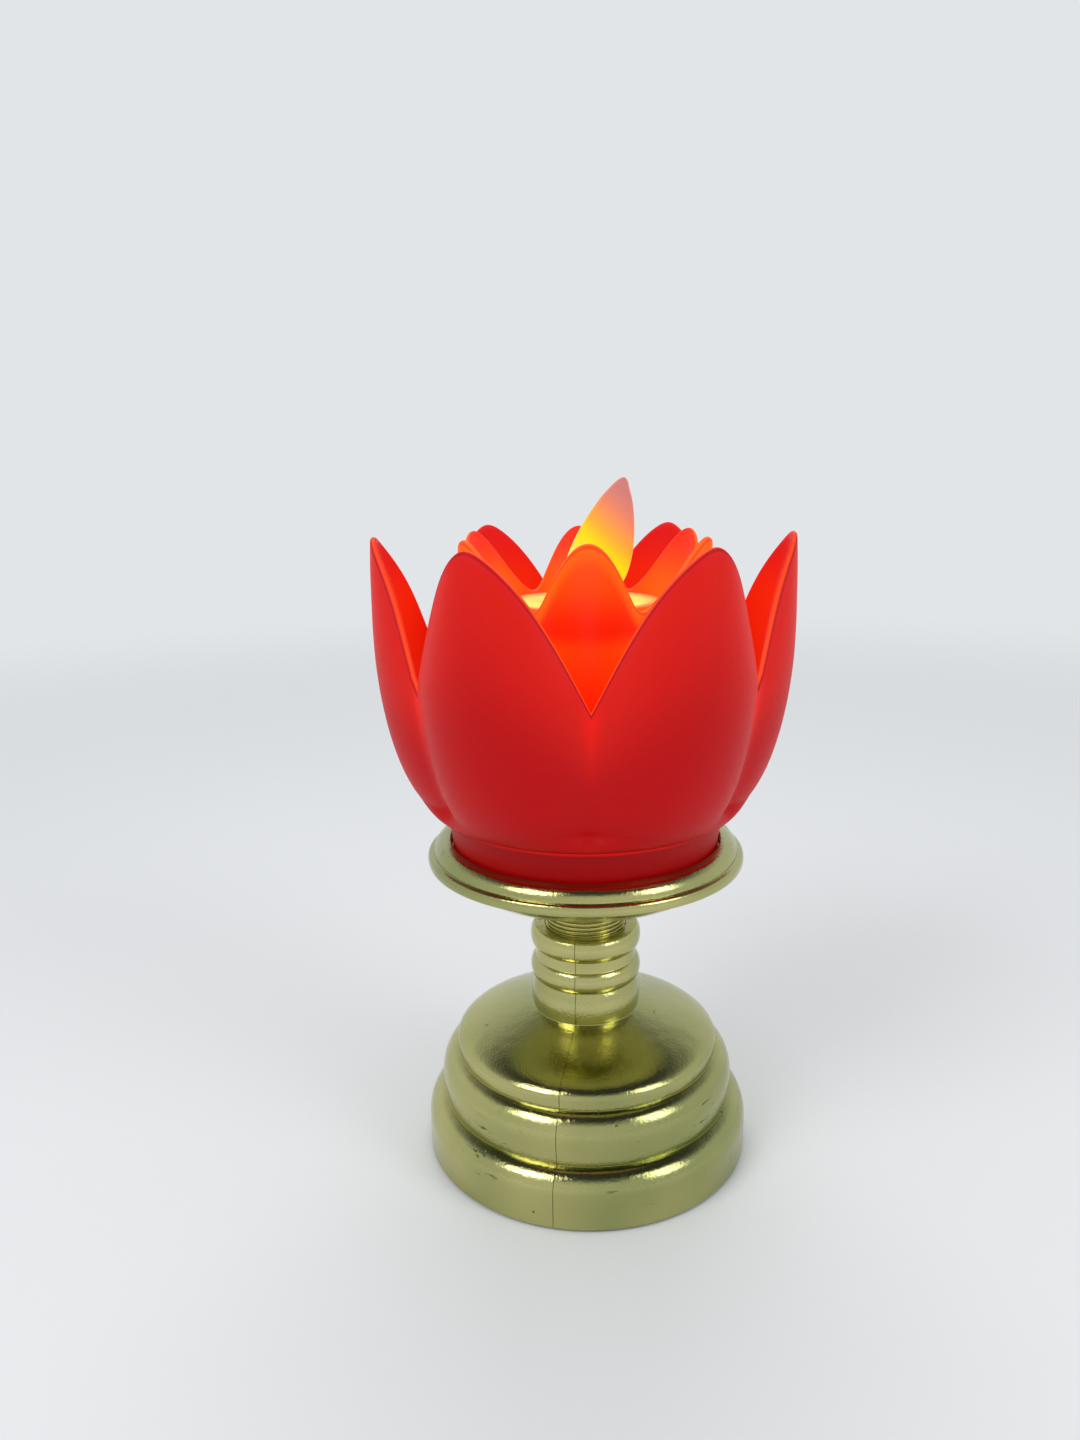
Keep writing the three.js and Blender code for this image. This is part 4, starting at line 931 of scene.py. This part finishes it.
def bodyPiece(size):
    outside, bottom, top, shelfZ = (size[key] for key in ("radius", "bodyBottom", "bodyTop", "shelfZ"))
    bore, ledge = outside - size.wall, size.shelfWidth
    shelfTop = shelfZ + size.shelf
    loop = [(bore, bottom), (outside, bottom), (outside, top), (bore, top), (bore, shelfTop),
            (bore - ledge, shelfTop), (bore, shelfZ - ledge)]
    return revolve(rounded(loop, size.bodyRound))


fitted(capPiece(core), "litCap", litCap, "cap_plastic", "core_cap")
fitted(bodyPiece(core), "litBody", litCore, "core_plastic", "core_body", sharp=35)
print("core: done")


# Flame: a flat leaf on a stem, hung on its wire

flame = Settings(
    height=36.5, half=7.9, thickness=1.4, edge=0.6, stemHalf=2.6, stem=15.0,
    shoulder=2.0, pivotZ=146.0, lean=14.0, rows=8, steps=8,
    shares=[
        (0.42, 0.13), (0.58, 0.2), (0.86, 0.275), (1, 0.39), (1, 0.535), (0.88, 0.685),
        (0.66, 0.84), (0.43, 0.94), (0.31, 0.988), (0.19, 1.007), (0.06, 0.994), (-0.14, 0.94),
        (-0.44, 0.82), (-0.76, 0.633), (-0.95, 0.455), (-0.97, 0.36), (-0.84, 0.27), (-0.58, 0.2),
        (-0.42, 0.13)],
)


def flamePiece(size):
    stem, low, shoulder = size.stemHalf, -size.stem, -size.shoulder
    curve = [(across * size.half, up * size.height) for across, up in size.shares]
    spots = [Vector(spot) for spot in ((stem, shoulder), *curve, (-stem, shoulder))]
    line = throughPoints([spots[0], *spots, spots[-1]], size.steps)
    line = [Vector((stem, low)), *line, Vector((-stem, low))]
    normals = []
    for before, after in zip(line[-1:] + line, line[1:] + line[:1]):
        along = (after - before).normalized()
        normals.append(Vector((along.y, -along.x)))
    rows = []
    for j in range(size.rows + 1):
        turn = math.pi * j / size.rows
        inset = size.edge * (1 - math.sin(turn))
        level = -math.cos(turn) * size.thickness / 2
        spots = (spot - normal * inset for spot, normal in zip(line, normals))
        rows.append([Vector((spot.x, level, spot.y)) for spot in spots])
    leaf = marked(lofted(rows), flameClimb=lambda spot: spot.z / size.height,
                  flameAcross=lambda spot: spot.x / size.half,
                  flameRim=lambda spot: 1 - abs(spot.y) / (size.thickness / 2))
    return placed(leaf, (0, 0, size.pivotZ), (size.lean, "Y"))


fitted(flamePiece(flame), "flameLeaf", flameGlow, "flame_plastic", "flame_tab", body="flame", sharp=50)
print("flame: done")


# Fasteners and feet: one form repeated round a circle

def ringRecipe():
    recipe = Recipe("roundCircle", {
        "Count": 4, "Circle": 36.4, "First": 0.0, "Twist": 0.7, "Form": "object"})
    form = recipe.node("GeometryNodeObjectInfo", {"Object": recipe.size("Form")}, "Geometry",
                       transform_space="ORIGINAL")
    index, turn = recipe.azimuth(recipe.size("Count"))
    spot = recipe.polar(recipe.size("Circle"), turn)
    return recipe.close(recipe.copies(form, recipe.size("Count"), turn + index * recipe.size("Twist"), spot))


circles = ringRecipe()


def repeated(form, material, count, radius, first=0.0):
    made = circles.make(material, Form=form, Count=count, Circle=radius, First=first)
    bpy.data.objects.remove(form)
    return made


pad = Settings(radius=4.0, thickness=0.9, round=0.3, circle=36.4, count=4)
padForm = revolve(rounded(rod(pad.radius, 0, pad.thickness), pad.round), 40)
fitted(repeated(padForm, rubber, pad.count, pad.circle), "footPads", rubber,
       "pad_rubber", *numbered("foot_pad", pad.count), sharp=40)

screw = Settings(
    head=2.5, headHeight=1.5, headShares=(0.45, 0.85, 0.75, 0.3), shank=1.2, root=0.82, point=1.0,
    pitch=0.9, start=0.5, rootRun=0.35, crestRun=0.6, blade=(2.6, 0.5), bladeDepth=0.9,
    base=(9.0, 2.4), lotus=(14.0, 84.8),
)


def screwPiece(size, length, seatZ):
    head, deep, shank = size.head, size.headHeight, size.shank
    flat, bend, rise, side = size.headShares
    line = Outline(0, -deep)
    line.line((head * flat, -deep))
    line.cubic((head * bend, -deep), (head, -deep * rise), (head, -deep * side))
    line.line((head, 0), (shank, 0))
    for i in range(int((length - size.point) / size.pitch)):
        start = size.start + i * size.pitch
        root = shank * size.root
        line.line((root, start), (root, start + size.rootRun), (shank, start + size.crestRun))
    line.line((0, length))
    bottom = seatZ - deep
    blades = [placed(block(*size.blade, bottom - overrun, bottom + size.bladeDepth), (0, 0, 0), (turn, "Z"))
              for turn in (0, 90)]
    return cutAway(revolve([(r, z + seatZ) for r, z in line.points], 32), *blades)


baseScrews = repeated(screwPiece(screw, *screw.base), brightSteel, pedestal.screws,
                      pedestal.bossCircle, pedestal.bossAzimuths[0])
lotusScrews = repeated(screwPiece(screw, *screw.lotus), brightSteel, saucer.screws, saucer.screwCircle)
fitted(baseScrews, "baseScrews", brightSteel, "bright_steel", *numbered("base_screw", pedestal.screws))
fitted(lotusScrews, "lotusScrews", brightSteel, "bright_steel", *numbered("lotus_screw", saucer.screws))
print("fasteners: done")


# Foot: plate, door, cells and contacts

foot = Settings(
    radius=41.7, low=1.0, high=3.8, round=0.4, bay=(56.3, 29.9), notch=(5.4, 10.6),
    pocket=(1.6, 33.5, 1.4), hingeX=-26.65, hingeZ=2.2, slot=(8.2, 3.6), switchY=24.5,
    hole=1.5, recess=(2.8, 2.6),
    doorLength=54.5, doorWidth=29.3, doorHalf=1.2, doorRound=0.3, hingeSteps=16,
    latch=(3.4, 10.0), latchInset=0.05, latchReach=0.7, latchRound=0.35, pin=0.5, pinReach=16.45,
    grips=5, gripStart=16.0, gripStep=1.6, grip=(0.7, 14.0, 0.35),
)


def platePiece(size):
    under, over = size.low - overrun, size.high + overrun
    bay, (wide, deep, pocketLow), (recess, recessTop) = size.bay, size.pocket, size.recess
    plate = revolve(rounded(rod(size.radius, size.low, size.high), size.round), 128)
    spots = circle(pedestal.screws, pedestal.bossCircle, pedestal.bossAzimuths[0])
    return cutAway(plate, block(*bay, under, over), block(*size.notch, under, over, bay[0] / 2),
                   block(wide, deep, pocketLow, over, size.hingeX),
                   block(*size.slot, under, over, 0, size.switchY),
                   *rods(spots, recess, under, recessTop, 40), *rods(spots, size.hole, size.low, over))


def doorPiece(size):
    half, length, reach = size.doorHalf, size.doorLength, size.pinReach
    hinge = Vector((size.hingeX, 0, size.hingeZ))
    turns = [math.pi * k / size.hingeSteps for k in range(size.hingeSteps + 1)]
    side = [(-half * math.sin(turn), -half * math.cos(turn)) for turn in turns]
    side += [(length, half), (length, -half)]
    rows = [[Vector((x, y * size.doorWidth / 2, z)) + hinge for x, z in side] for y in (-1, 1)]
    latch = block(*size.latch, hinge.z - half + size.latchInset, hinge.z + half - size.latchInset,
                  hinge.x + length + size.latchReach)
    pin = placed(revolve(rod(size.pin, -reach, reach), 24), hinge, (90, "X"))
    panel = merged(bevelled(lofted(rows), size.doorRound), bevelled(latch, size.latchRound), pin)
    run, wide, deep = size.grip
    under, low = size.low - overrun, size.low + deep
    grooves = (block(run, wide, under, low, size.gripStart + i * size.gripStep) for i in range(size.grips))
    return cutAway(panel, *grooves)


fitted(platePiece(foot), "basePlate", basePlastic, "base_plastic", "base_plate")
fitted(doorPiece(foot), "doorPanel", basePlastic, "base_plastic", "battery_door", body="door")

cell = Settings(
    profile=[
        (0, 0.3), (4.6, 0.3), (4.9, 0), (6.2, 0), (6.5, 0.35), (6.8, 0.35), (7.1, 0.8), (7.1, 48.4),
        (6.8, 48.85), (6.5, 48.85), (6.2, 49.2), (2.6, 49.2), (2.6, 50.2), (2.3, 50.5), (0, 50.5)],
    start=-23.15, offset=7.45, z=10.9, wrap=(0.5, 48.7), edge=0.1, band=(38.5, 38.7),
    sleeve=shade(44, 92, 58), bandTone=shade(176, 140, 70), stain=shade(30, 60, 40),
    steel=shade(180, 180, 176), grain=500, stainShare=0.3, bareMetal=0.9, roughness=0.28, uneven=0.15,
)


def paintCell(tree):
    along = tree.attribute("cellAlong")
    fine = tree.noise(tree.place(), cell.grain, 3)
    (low, high), edge = cell.wrap, cell.edge
    wrapped = tree.smooth(along, low - edge, low + edge) * (1 - tree.smooth(along, high - edge, high + edge))
    tone = tree.mix(tree.smooth(along, *cell.band), cell.sleeve, cell.bandTone)
    tone = tree.mix(fine * cell.stainShare, tone, cell.stain)
    return {"Base Color": tree.mix(wrapped, cell.steel, tone), "Metallic": 1 - wrapped * cell.bareMetal,
            "Roughness": cell.roughness + fine * cell.uneven}


cellWrap = surface("cellWrap", paintCell)
offset = cell.offset


def cellPiece(side):
    body = marked(revolve(cell.profile, 64), cellAlong=lambda spot: spot.z)
    return placed(body, (side * cell.start, -side * offset, cell.z), (90 - side * 90, "Z"), (90, "Y"))


fitted(cellPiece(1), "cellFront", cellWrap, "cell_can", "battery_cell_front", sharp=40)
fitted(cellPiece(-1), "cellBack", cellWrap, "cell_can", "battery_cell_back", sharp=40)

contact = Settings(
    x=27.75, thickness=0.4, half=4.5, single=9.0, double=23.9, lug=2.2, lugTop=22.7,
    round=0.12, springSeat=0.515)
springSizes = Settings(Turns=3.0, Foot=4.0, Tip=2.4, Length=3.5, Wire=0.35, Steps=32)


def springRecipe():
    recipe = Recipe("conicalSpring", springSizes)
    size = recipe.size
    spiral = recipe.node("GeometryNodeCurveSpiral", {
        "Resolution": size("Steps"), "Rotations": size("Turns"), "Start Radius": size("Foot") * 0.001,
        "End Radius": size("Tip") * 0.001, "Height": size("Length") * 0.001})
    ring = recipe.node("GeometryNodeCurvePrimitiveCircle", {
        "Resolution": 12, "Radius": size("Wire") * 0.001})
    return recipe.close(recipe.node("GeometryNodeCurveToMesh", {
        "Curve": spiral, "Profile Curve": ring, "Fill Caps": True}))


springs = springRecipe()


def contactPiece(side, y, width, material, lug=True, springY=None):
    x, z, thickness = side * contact.x, cell.z, contact.thickness
    plate = block(thickness, width, z - contact.half, z + contact.half, x, y)
    if lug:
        merged(plate, block(thickness, contact.lug, z, contact.lugTop, x, y))
    bevelled(plate, contact.round, 2)
    if springY is None:
        return plate
    spring = placed(springs.make(material), (x - side * contact.springSeat, springY, z), (-side * 90, "Y"))
    return joined(plate, spring)


fitted(contactPiece(1, -offset, contact.single, contactBrass), "contactPositive", contactBrass,
       "contact_metal", "contact_positive", sharp=40)
fitted(contactPiece(1, offset, contact.single, brightSteel, True, offset), "contactNegative", brightSteel,
       "bright_steel", "contact_negative", sharp=40)
fitted(contactPiece(-1, 0, contact.double, brightSteel, False, -offset), "contactBridge", brightSteel,
       "bright_steel", "contact_bridge", sharp=40)
print("foot: done")


# Leads: smooth cords through the same places as the solids

leads = Settings(
    radius=0.7, steps=14,
    stem=[(0, 39.9), (0, 63.4), (0, 100.8), (11.8, 114.1), (11.8, 118.6)],
    red=[(-1.3, 24.5, 10.9), (-1.3, 24.5, 18.4), (-1.3, 14.95, 28.1)],
    black=[(27.75, 7.45, 23.0), (27.75, 7.45, 26.0), (13.875, 3.725, 25.1)],
    switch=[
        (27.75, -7.45, 23.0), (27.75, -7.45, 24.5), (20.65, -3.725, 21.4), (13.875, 14.95, 21.4),
        (2.6, 24.5, 18.4), (2.6, 24.5, 10.9)],
)


def cordPiece(name, stops):
    curve = bpy.data.curves.new(name, "CURVE")
    curve.dimensions = "3D"
    curve.bevel_depth = leads.radius / 1000
    curve.bevel_resolution = 3
    curve.use_fill_caps = True
    points = [Vector(stop) for stop in stops]
    ends = points[0] * 2 - points[1], points[-1] * 2 - points[-2]
    line = throughPoints([ends[0], *points, ends[1]], leads.steps, 0.5)
    spline = curve.splines.new("POLY")
    spline.points.add(len(line) - 1)
    for point, place in zip(spline.points, line):
        point.co = (*(place / 1000), 1)
    source = linked(curve)
    graph = bpy.context.evaluated_depsgraph_get()
    cord = linked(bpy.data.meshes.new_from_object(source.evaluated_get(graph), depsgraph=graph))
    bpy.data.objects.remove(source)
    print(name, "is", round(sum((q - p).length for p, q in zip(line, line[1:]))), "mm long")
    return welded(cord)


def stemStops(x):
    return [(x, y, z) for y, z in leads.stem]


for name, stops, sleeve, slotName, node in (
        ("redCord", leads.red + stemStops(-1.3), redSleeve, "red_sleeve", "lead_red"),
        ("blackCord", leads.black + stemStops(1.3), blackSleeve, "black_sleeve", "lead_black"),
        ("switchCord", leads.switch, redSleeve, "red_sleeve", "lead_switch")):
    fitted(cordPiece(name, stops), name, sleeve, slotName, node, sharp=50)

winding = Settings(radius=4.4, bore=2.2, low=119.7, high=124.3, turns=16, groove=0.12)


def windingPiece(size):
    low, high, steps = size.low, size.high, size.turns * 4
    dips = [size.groove * (1 + math.cos(math.pi * i / 2)) / 2 for i in range(steps + 1)]
    ridges = [(size.radius - dip, low + (high - low) * i / steps) for i, dip in enumerate(dips)]
    return revolve([(size.bore, low), *ridges, (size.bore, high)], 48)


fitted(windingPiece(winding), "windingTurns", copperWire, "copper_wire", "coil_winding", sharp=60)
print("leads and winding: done")


# Tray and switch

tray = Settings(
    outside=(58.9, 32.5), skirt=(64.9, 38.5, 4.02, 5.2), room=(56.3, 29.9, 1.0, 18.4), low=4.0,
    roof=19.7, slot=(1.0, 2.8, 10.9), rounds=(0.8, 0.3, 0.4),
)


def trayPiece(size):
    wallRound, skirtRound, roomRound = size.rounds
    wide, deep, low = size.slot
    walls = merged(bevelled(block(*size.outside, size.low, size.roof), wallRound),
                   bevelled(block(*size.skirt), skirtRound))
    slots = (block(wide, deep, low, size.roof + overrun, contact.x, side * offset) for side in (-1, 1))
    return cutAway(walls, bevelled(block(*size.room), roomRound), *slots)


fitted(trayPiece(tray), "trayBox", trayPlastic, "base_plastic", "battery_tray")

slide = Settings(
    can=(13.4, 6.4, 4.0, 10.6), canRound=0.4, channel=(10.6, 8.0, 3.0, 5.2), x=1.5,
    finger=(4.6, 3.0, 0.6, 4.6), fingerRound=0.3, flange=(7.0, 5.4, 4.1, 4.9), flangeRound=0.15,
    ridges=(-1, 0, 1), ridge=(0.4, 4.0, -0.4, 0.85), ridgeStep=1.1,
)


def switchPiece(size):
    y = foot.switchY
    return cutAway(bevelled(block(*size.can, 0, y), size.canRound), block(*size.channel, 0, y))


def knobPiece(size):
    x, y = size.x, foot.switchY
    knob = merged(bevelled(block(*size.finger, x, y), size.fingerRound),
                  bevelled(block(*size.flange, x, y), size.flangeRound))
    return cutAway(knob, *(block(*size.ridge, x + i * size.ridgeStep, y) for i in size.ridges))


fitted(switchPiece(slide), "switchCan", switchSteel, "bright_steel", "switch_body")
fitted(knobPiece(slide), "slideKnob", knobPlastic, "knob_plastic", "switch_knob", body="switch")
print("tray and switch: done")


# Inside the core: base, cradle, coil, board and lamps

inside = Settings(
    base=[
        (4.5, 93.4), (18.8, 93.4), (18.8, 94.8), (17.3, 94.8), (17.3, 97.8), (16, 97.8), (16, 94.8),
        (4.5, 94.8)],
    boss=(2.6, 94.6, 100.8, 32), pilot=(1.3, 92.6, 99.1), round=0.25,
    disc=(17.3, 117.1, 118.7), leg=(7.0, 2.0, 118.6, 148.0), legY=6.2, legRound=0.3,
    shelf=(5.0, 4.7, 142.2, 143.6, -6.2, -4.85), shelfRound=0.2, wireHole=(0.6, -9, 9), wireZ=146.0,
    leadHole=(5.2, 2.6, 116.1, 119.7, 0, 11.8),
    bobbin=[
        (1.6, 118.9), (4.8, 118.9), (4.8, 119.5), (2, 119.5), (2, 124.5), (4.8, 124.5), (4.8, 125.1),
        (1.6, 125.1)],
    core=(1.4, 118.9, 124.9), coreRound=0.2, board=(16.0, 118.9, 120.5, 8.6), boardRound=0.12,
    boardHole=(1.3, 117.9, 121.5, 32), boardHoleY=14.4,
    chip=(5.0, 4.0, 120.7, 122.3, 0, -12.2), chipRound=0.2, pins=(-1.5, -0.5, 0.5, 1.5), pitch=1.27,
    pin=(0.4, 0.9, 120.55, 121.3), pinRound=0.1, pinY=2.45,
    glow=(2.5, 8.6), glowX=12.4, glowZ=120.7, tip=(1.5, 5.3), tipSpot=(-6.4, -4.8, 143.8),
    ledRim=(0.4, 1.0), domeSteps=8, wire=(0.4, -7.8, 7.8), wireRound=0.1, magnet=(2.6, -18.3, -15.3),
    magnetRound=0.3,
)
board = Settings(
    tracks=[(10.6, 10.75, 11.2, 11.35), (13.6, 13.75, 14.2, 14.35)], wander=1.6,
    mask=shade(30, 102, 56), maskDeep=shade(20, 78, 42), maskShare=0.4, grain=700, wanderScale=90,
    track=shade(74, 140, 70), trackShare=0.7, trackHeight=0.6, grainHeight=0.2, bump=0.2,
    roughness=0.34, uneven=0.2,
)


def crossways(profile):  # a rod that lies along Y at the height of the wire
    return placed(revolve(profile, 24), (0, 0, inside.wireZ), (90, "X"))


def coreBasePiece(size):
    spots = circle(saucer.screws, saucer.screwCircle)
    base = merged(revolve(rounded(size.base, size.round)), *rods(spots, *size.boss))
    return cutAway(base, *rods(spots, *size.pilot))


def cradlePiece(size):
    legs = (bevelled(block(*size.leg, 0, side * size.legY), size.legRound) for side in (-1, 1))
    disc = revolve(rounded(rod(*size.disc), size.round))
    cradle = merged(disc, *legs, bevelled(block(*size.shelf), size.shelfRound))
    return cutAway(cradle, crossways(rod(*size.wireHole)), block(*size.leadHole))


def ledPiece(shape, spot):
    radius, height = shape
    rim, thick = inside.ledRim
    turns = [math.pi / 2 * k / inside.domeSteps for k in range(inside.domeSteps + 1)]
    dome = [(radius * math.cos(turn), height - radius * (1 - math.sin(turn))) for turn in turns]
    return revolve([(0, 0), (radius + rim, 0), (radius + rim, thick), (radius, thick), *dome], 48, spot)


def paintBoard(tree):
    place = tree.place()
    line = tree.fromAxis(place) * 1000 + (tree.noise(place, board.wanderScale, 1) - 0.5) * board.wander
    fine = tree.noise(place, board.grain, 3)
    track = 0
    for first, second, third, last in board.tracks:
        track = track + tree.smooth(line, first, second) * (1 - tree.smooth(line, third, last))
    tone = tree.mix(fine * board.maskShare, board.mask, board.maskDeep)
    height = track * board.trackHeight + fine * board.grainHeight
    return {"Base Color": tree.mix(track * board.trackShare, tone, board.track),
            "Roughness": board.roughness + fine * board.uneven, "Normal": tree.bump(height, board.bump)}


solderMask = surface("solderMask", paintBoard)


def boardPiece(size):
    ring = revolve(rounded(rod(*size.board), size.boardRound))
    return cutAway(ring, *rods([(0, size.boardHoleY, 0)], *size.boardHole))


def chipLegs(size):
    x, y = size.chip[4:]
    return joined(*(
        bevelled(block(*size.pin, x + pin * size.pitch, y + side * size.pinY), size.pinRound, 2)
        for side in (-1, 1) for pin in size.pins))


wire = crossways(rounded(rod(*inside.wire), inside.wireRound))
coil = revolve(rounded(inside.bobbin, inside.boardRound), 64)
pole = revolve(rounded(rod(*inside.core), inside.coreRound), 32)
chip = bevelled(block(*inside.chip), inside.chipRound)
fitted(coreBasePiece(inside), "coreFloor", milkyWhite, "core_plastic", "core_base")
fitted(cradlePiece(inside), "cradle", milkyWhite, "core_plastic", "flame_cradle")
fitted(coil, "coilSpool", chipBlack, "base_plastic", "coil_bobbin", sharp=35)
fitted(pole, "coilPole", brightSteel, "bright_steel", "coil_core", sharp=35)
fitted(boardPiece(inside), "boardRing", solderMask, "board", "circuit_board")
fitted(chip, "chipBody", chipBlack, "chip", "control_chip")
fitted(chipLegs(inside), "chipLegs", brightSteel, "bright_steel")
for name, side in (("Left", -1), ("Right", 1)):
    fitted(ledPiece(inside.glow, (side * inside.glowX, 0, inside.glowZ)), "glowLamp" + name, ledLens,
           "led_lens", "glow_led_" + name.lower(), sharp=35)
fitted(ledPiece(inside.tip, inside.tipSpot), "flameLamp", ledLens, "led_lens", "flame_led", sharp=35)
fitted(wire, "pivotRod", brightSteel, "bright_steel", "pivot_wire", sharp=35)
magnet = placed(revolve(rounded(rod(*inside.magnet), inside.magnetRound), 48),
                (0, 0, flame.pivotZ), (flame.lean, "Y"))
fitted(magnet, "driveMagnet", brightSteel, "bright_steel", "flame_magnet", body="flame", sharp=35)
print("core's inside: done")


# Floor, light and camera

studio = Settings(
    backdrop=shade(226, 229, 232), above=shade(66, 70, 72), turnsAt=(0.42, 0.85), fill=0.62,
    floorHalf=4000, floorZ=-0.1, grain=3, grainShare=0.97, hazeReach=(0.25, 1.1),
    lights=Settings(  # place, target, size and power
        keyLight=((-0.55, -0.55, 0.75), (0, 0, 0.08), (0.45, 0.45), 3.6),
        fillLight=((0.6, -0.4, 0.5), (0, 0, 0.08), (0.3, 0.4), 1.6),
        topLight=((0.0, 0.45, 0.8), (0, 0, 0.1), (0.5, 0.3), 1.6),
    ),
)


def floorMaterial(size):
    material = bpy.data.materials.new("floorPaint")
    material.use_nodes = True
    tree = Tree(material.node_tree)
    place = tree.place()
    pale = size.backdrop
    dimmer = (*(level * size.grainShare for level in pale[:3]), 1)
    tone = tree.mix(tree.noise(place, size.grain, 2), pale, dimmer)
    far = tree.smooth(tree.fromAxis(place), *size.hazeReach)
    paint = tree.node("ShaderNodeBsdfPrincipled", {"Base Color": tone, "Roughness": 0.7})
    haze = tree.node("ShaderNodeEmission", {"Color": pale, "Strength": 1.0})
    both = tree.node("ShaderNodeMixShader", {0: far * tree.seen(), 1: paint, 2: haze})
    tree.node("ShaderNodeOutputMaterial", {"Surface": both})
    return material


def floorPiece(size):
    corners = [Vector((i * size.floorHalf, j * size.floorHalf, size.floorZ))
               for i, j in ((-1, -1), (1, -1), (1, 1), (-1, 1))]
    return finished(meshed(corners, [(0, 1, 2, 3)]), "floor", floorMaterial(size))


def studioWorld(size):
    world = bpy.data.worlds.new("studio")
    world.use_nodes = True
    bpy.context.scene.world = world
    tree = Tree(world.node_tree)
    z = tree.axes(tree.node("ShaderNodeTexCoord").output("Generated"))[2]
    sky = tree.mix(tree.smooth(z, *size.turnsAt), size.backdrop, size.above)
    shown = tree.node("ShaderNodeBackground", {"Color": sky, "Strength": 1.0})
    light = tree.node("ShaderNodeBackground", {"Color": (1, 1, 1, 1), "Strength": size.fill})
    both = tree.node("ShaderNodeMixShader", {0: tree.seen(), 1: light, 2: shown})
    tree.node("ShaderNodeOutputWorld", {0: both})


def softBox(name, spot, target, size, power):
    lamp = bpy.data.lights.new(name, "AREA")
    lamp.shape = "RECTANGLE"
    lamp.size, lamp.size_y = size
    lamp.energy = power
    holder = linked(lamp, name)
    holder.location = spot
    holder.rotation_euler = (Vector(target) - Vector(spot)).to_track_quat("-Z", "Y").to_euler()


floor = floorPiece(studio)
studioWorld(studio)
for name, facts in studio.lights.items():
    softBox(name, *facts)

view = Settings(
    distance=274.42, height=186.24, pitch=13.606, yaw=-2.40, roll=-0.891,
    focal=1084.0, pictureHeight=1440, sensor=36, clipStart=0.01,
)


def makeCamera(size):
    pitch, yaw, roll = (math.radians(size[key]) for key in ("pitch", "yaw", "roll"))
    forward = Vector((math.sin(yaw) * math.cos(pitch), math.cos(yaw) * math.cos(pitch), -math.sin(pitch)))
    level = Vector((math.cos(yaw), -math.sin(yaw), 0))
    upright = level.cross(forward)
    right = level * math.cos(roll) + upright * math.sin(roll)
    up = upright * math.cos(roll) - level * math.sin(roll)
    lens = bpy.data.cameras.new("camera")
    lens.sensor_width = size.sensor
    lens.lens = size.focal * size.sensor / size.pictureHeight
    lens.clip_start = size.clipStart
    holder = linked(lens, "camera")
    place = Matrix((right, up, -forward)).transposed().to_4x4()
    place.translation = Vector((0, -size.distance, size.height)) / 1000
    holder.matrix_world = place
    bpy.context.scene.camera = holder


makeCamera(view)
bpy.context.scene.view_settings.view_transform = "Standard"
print("studio: done")
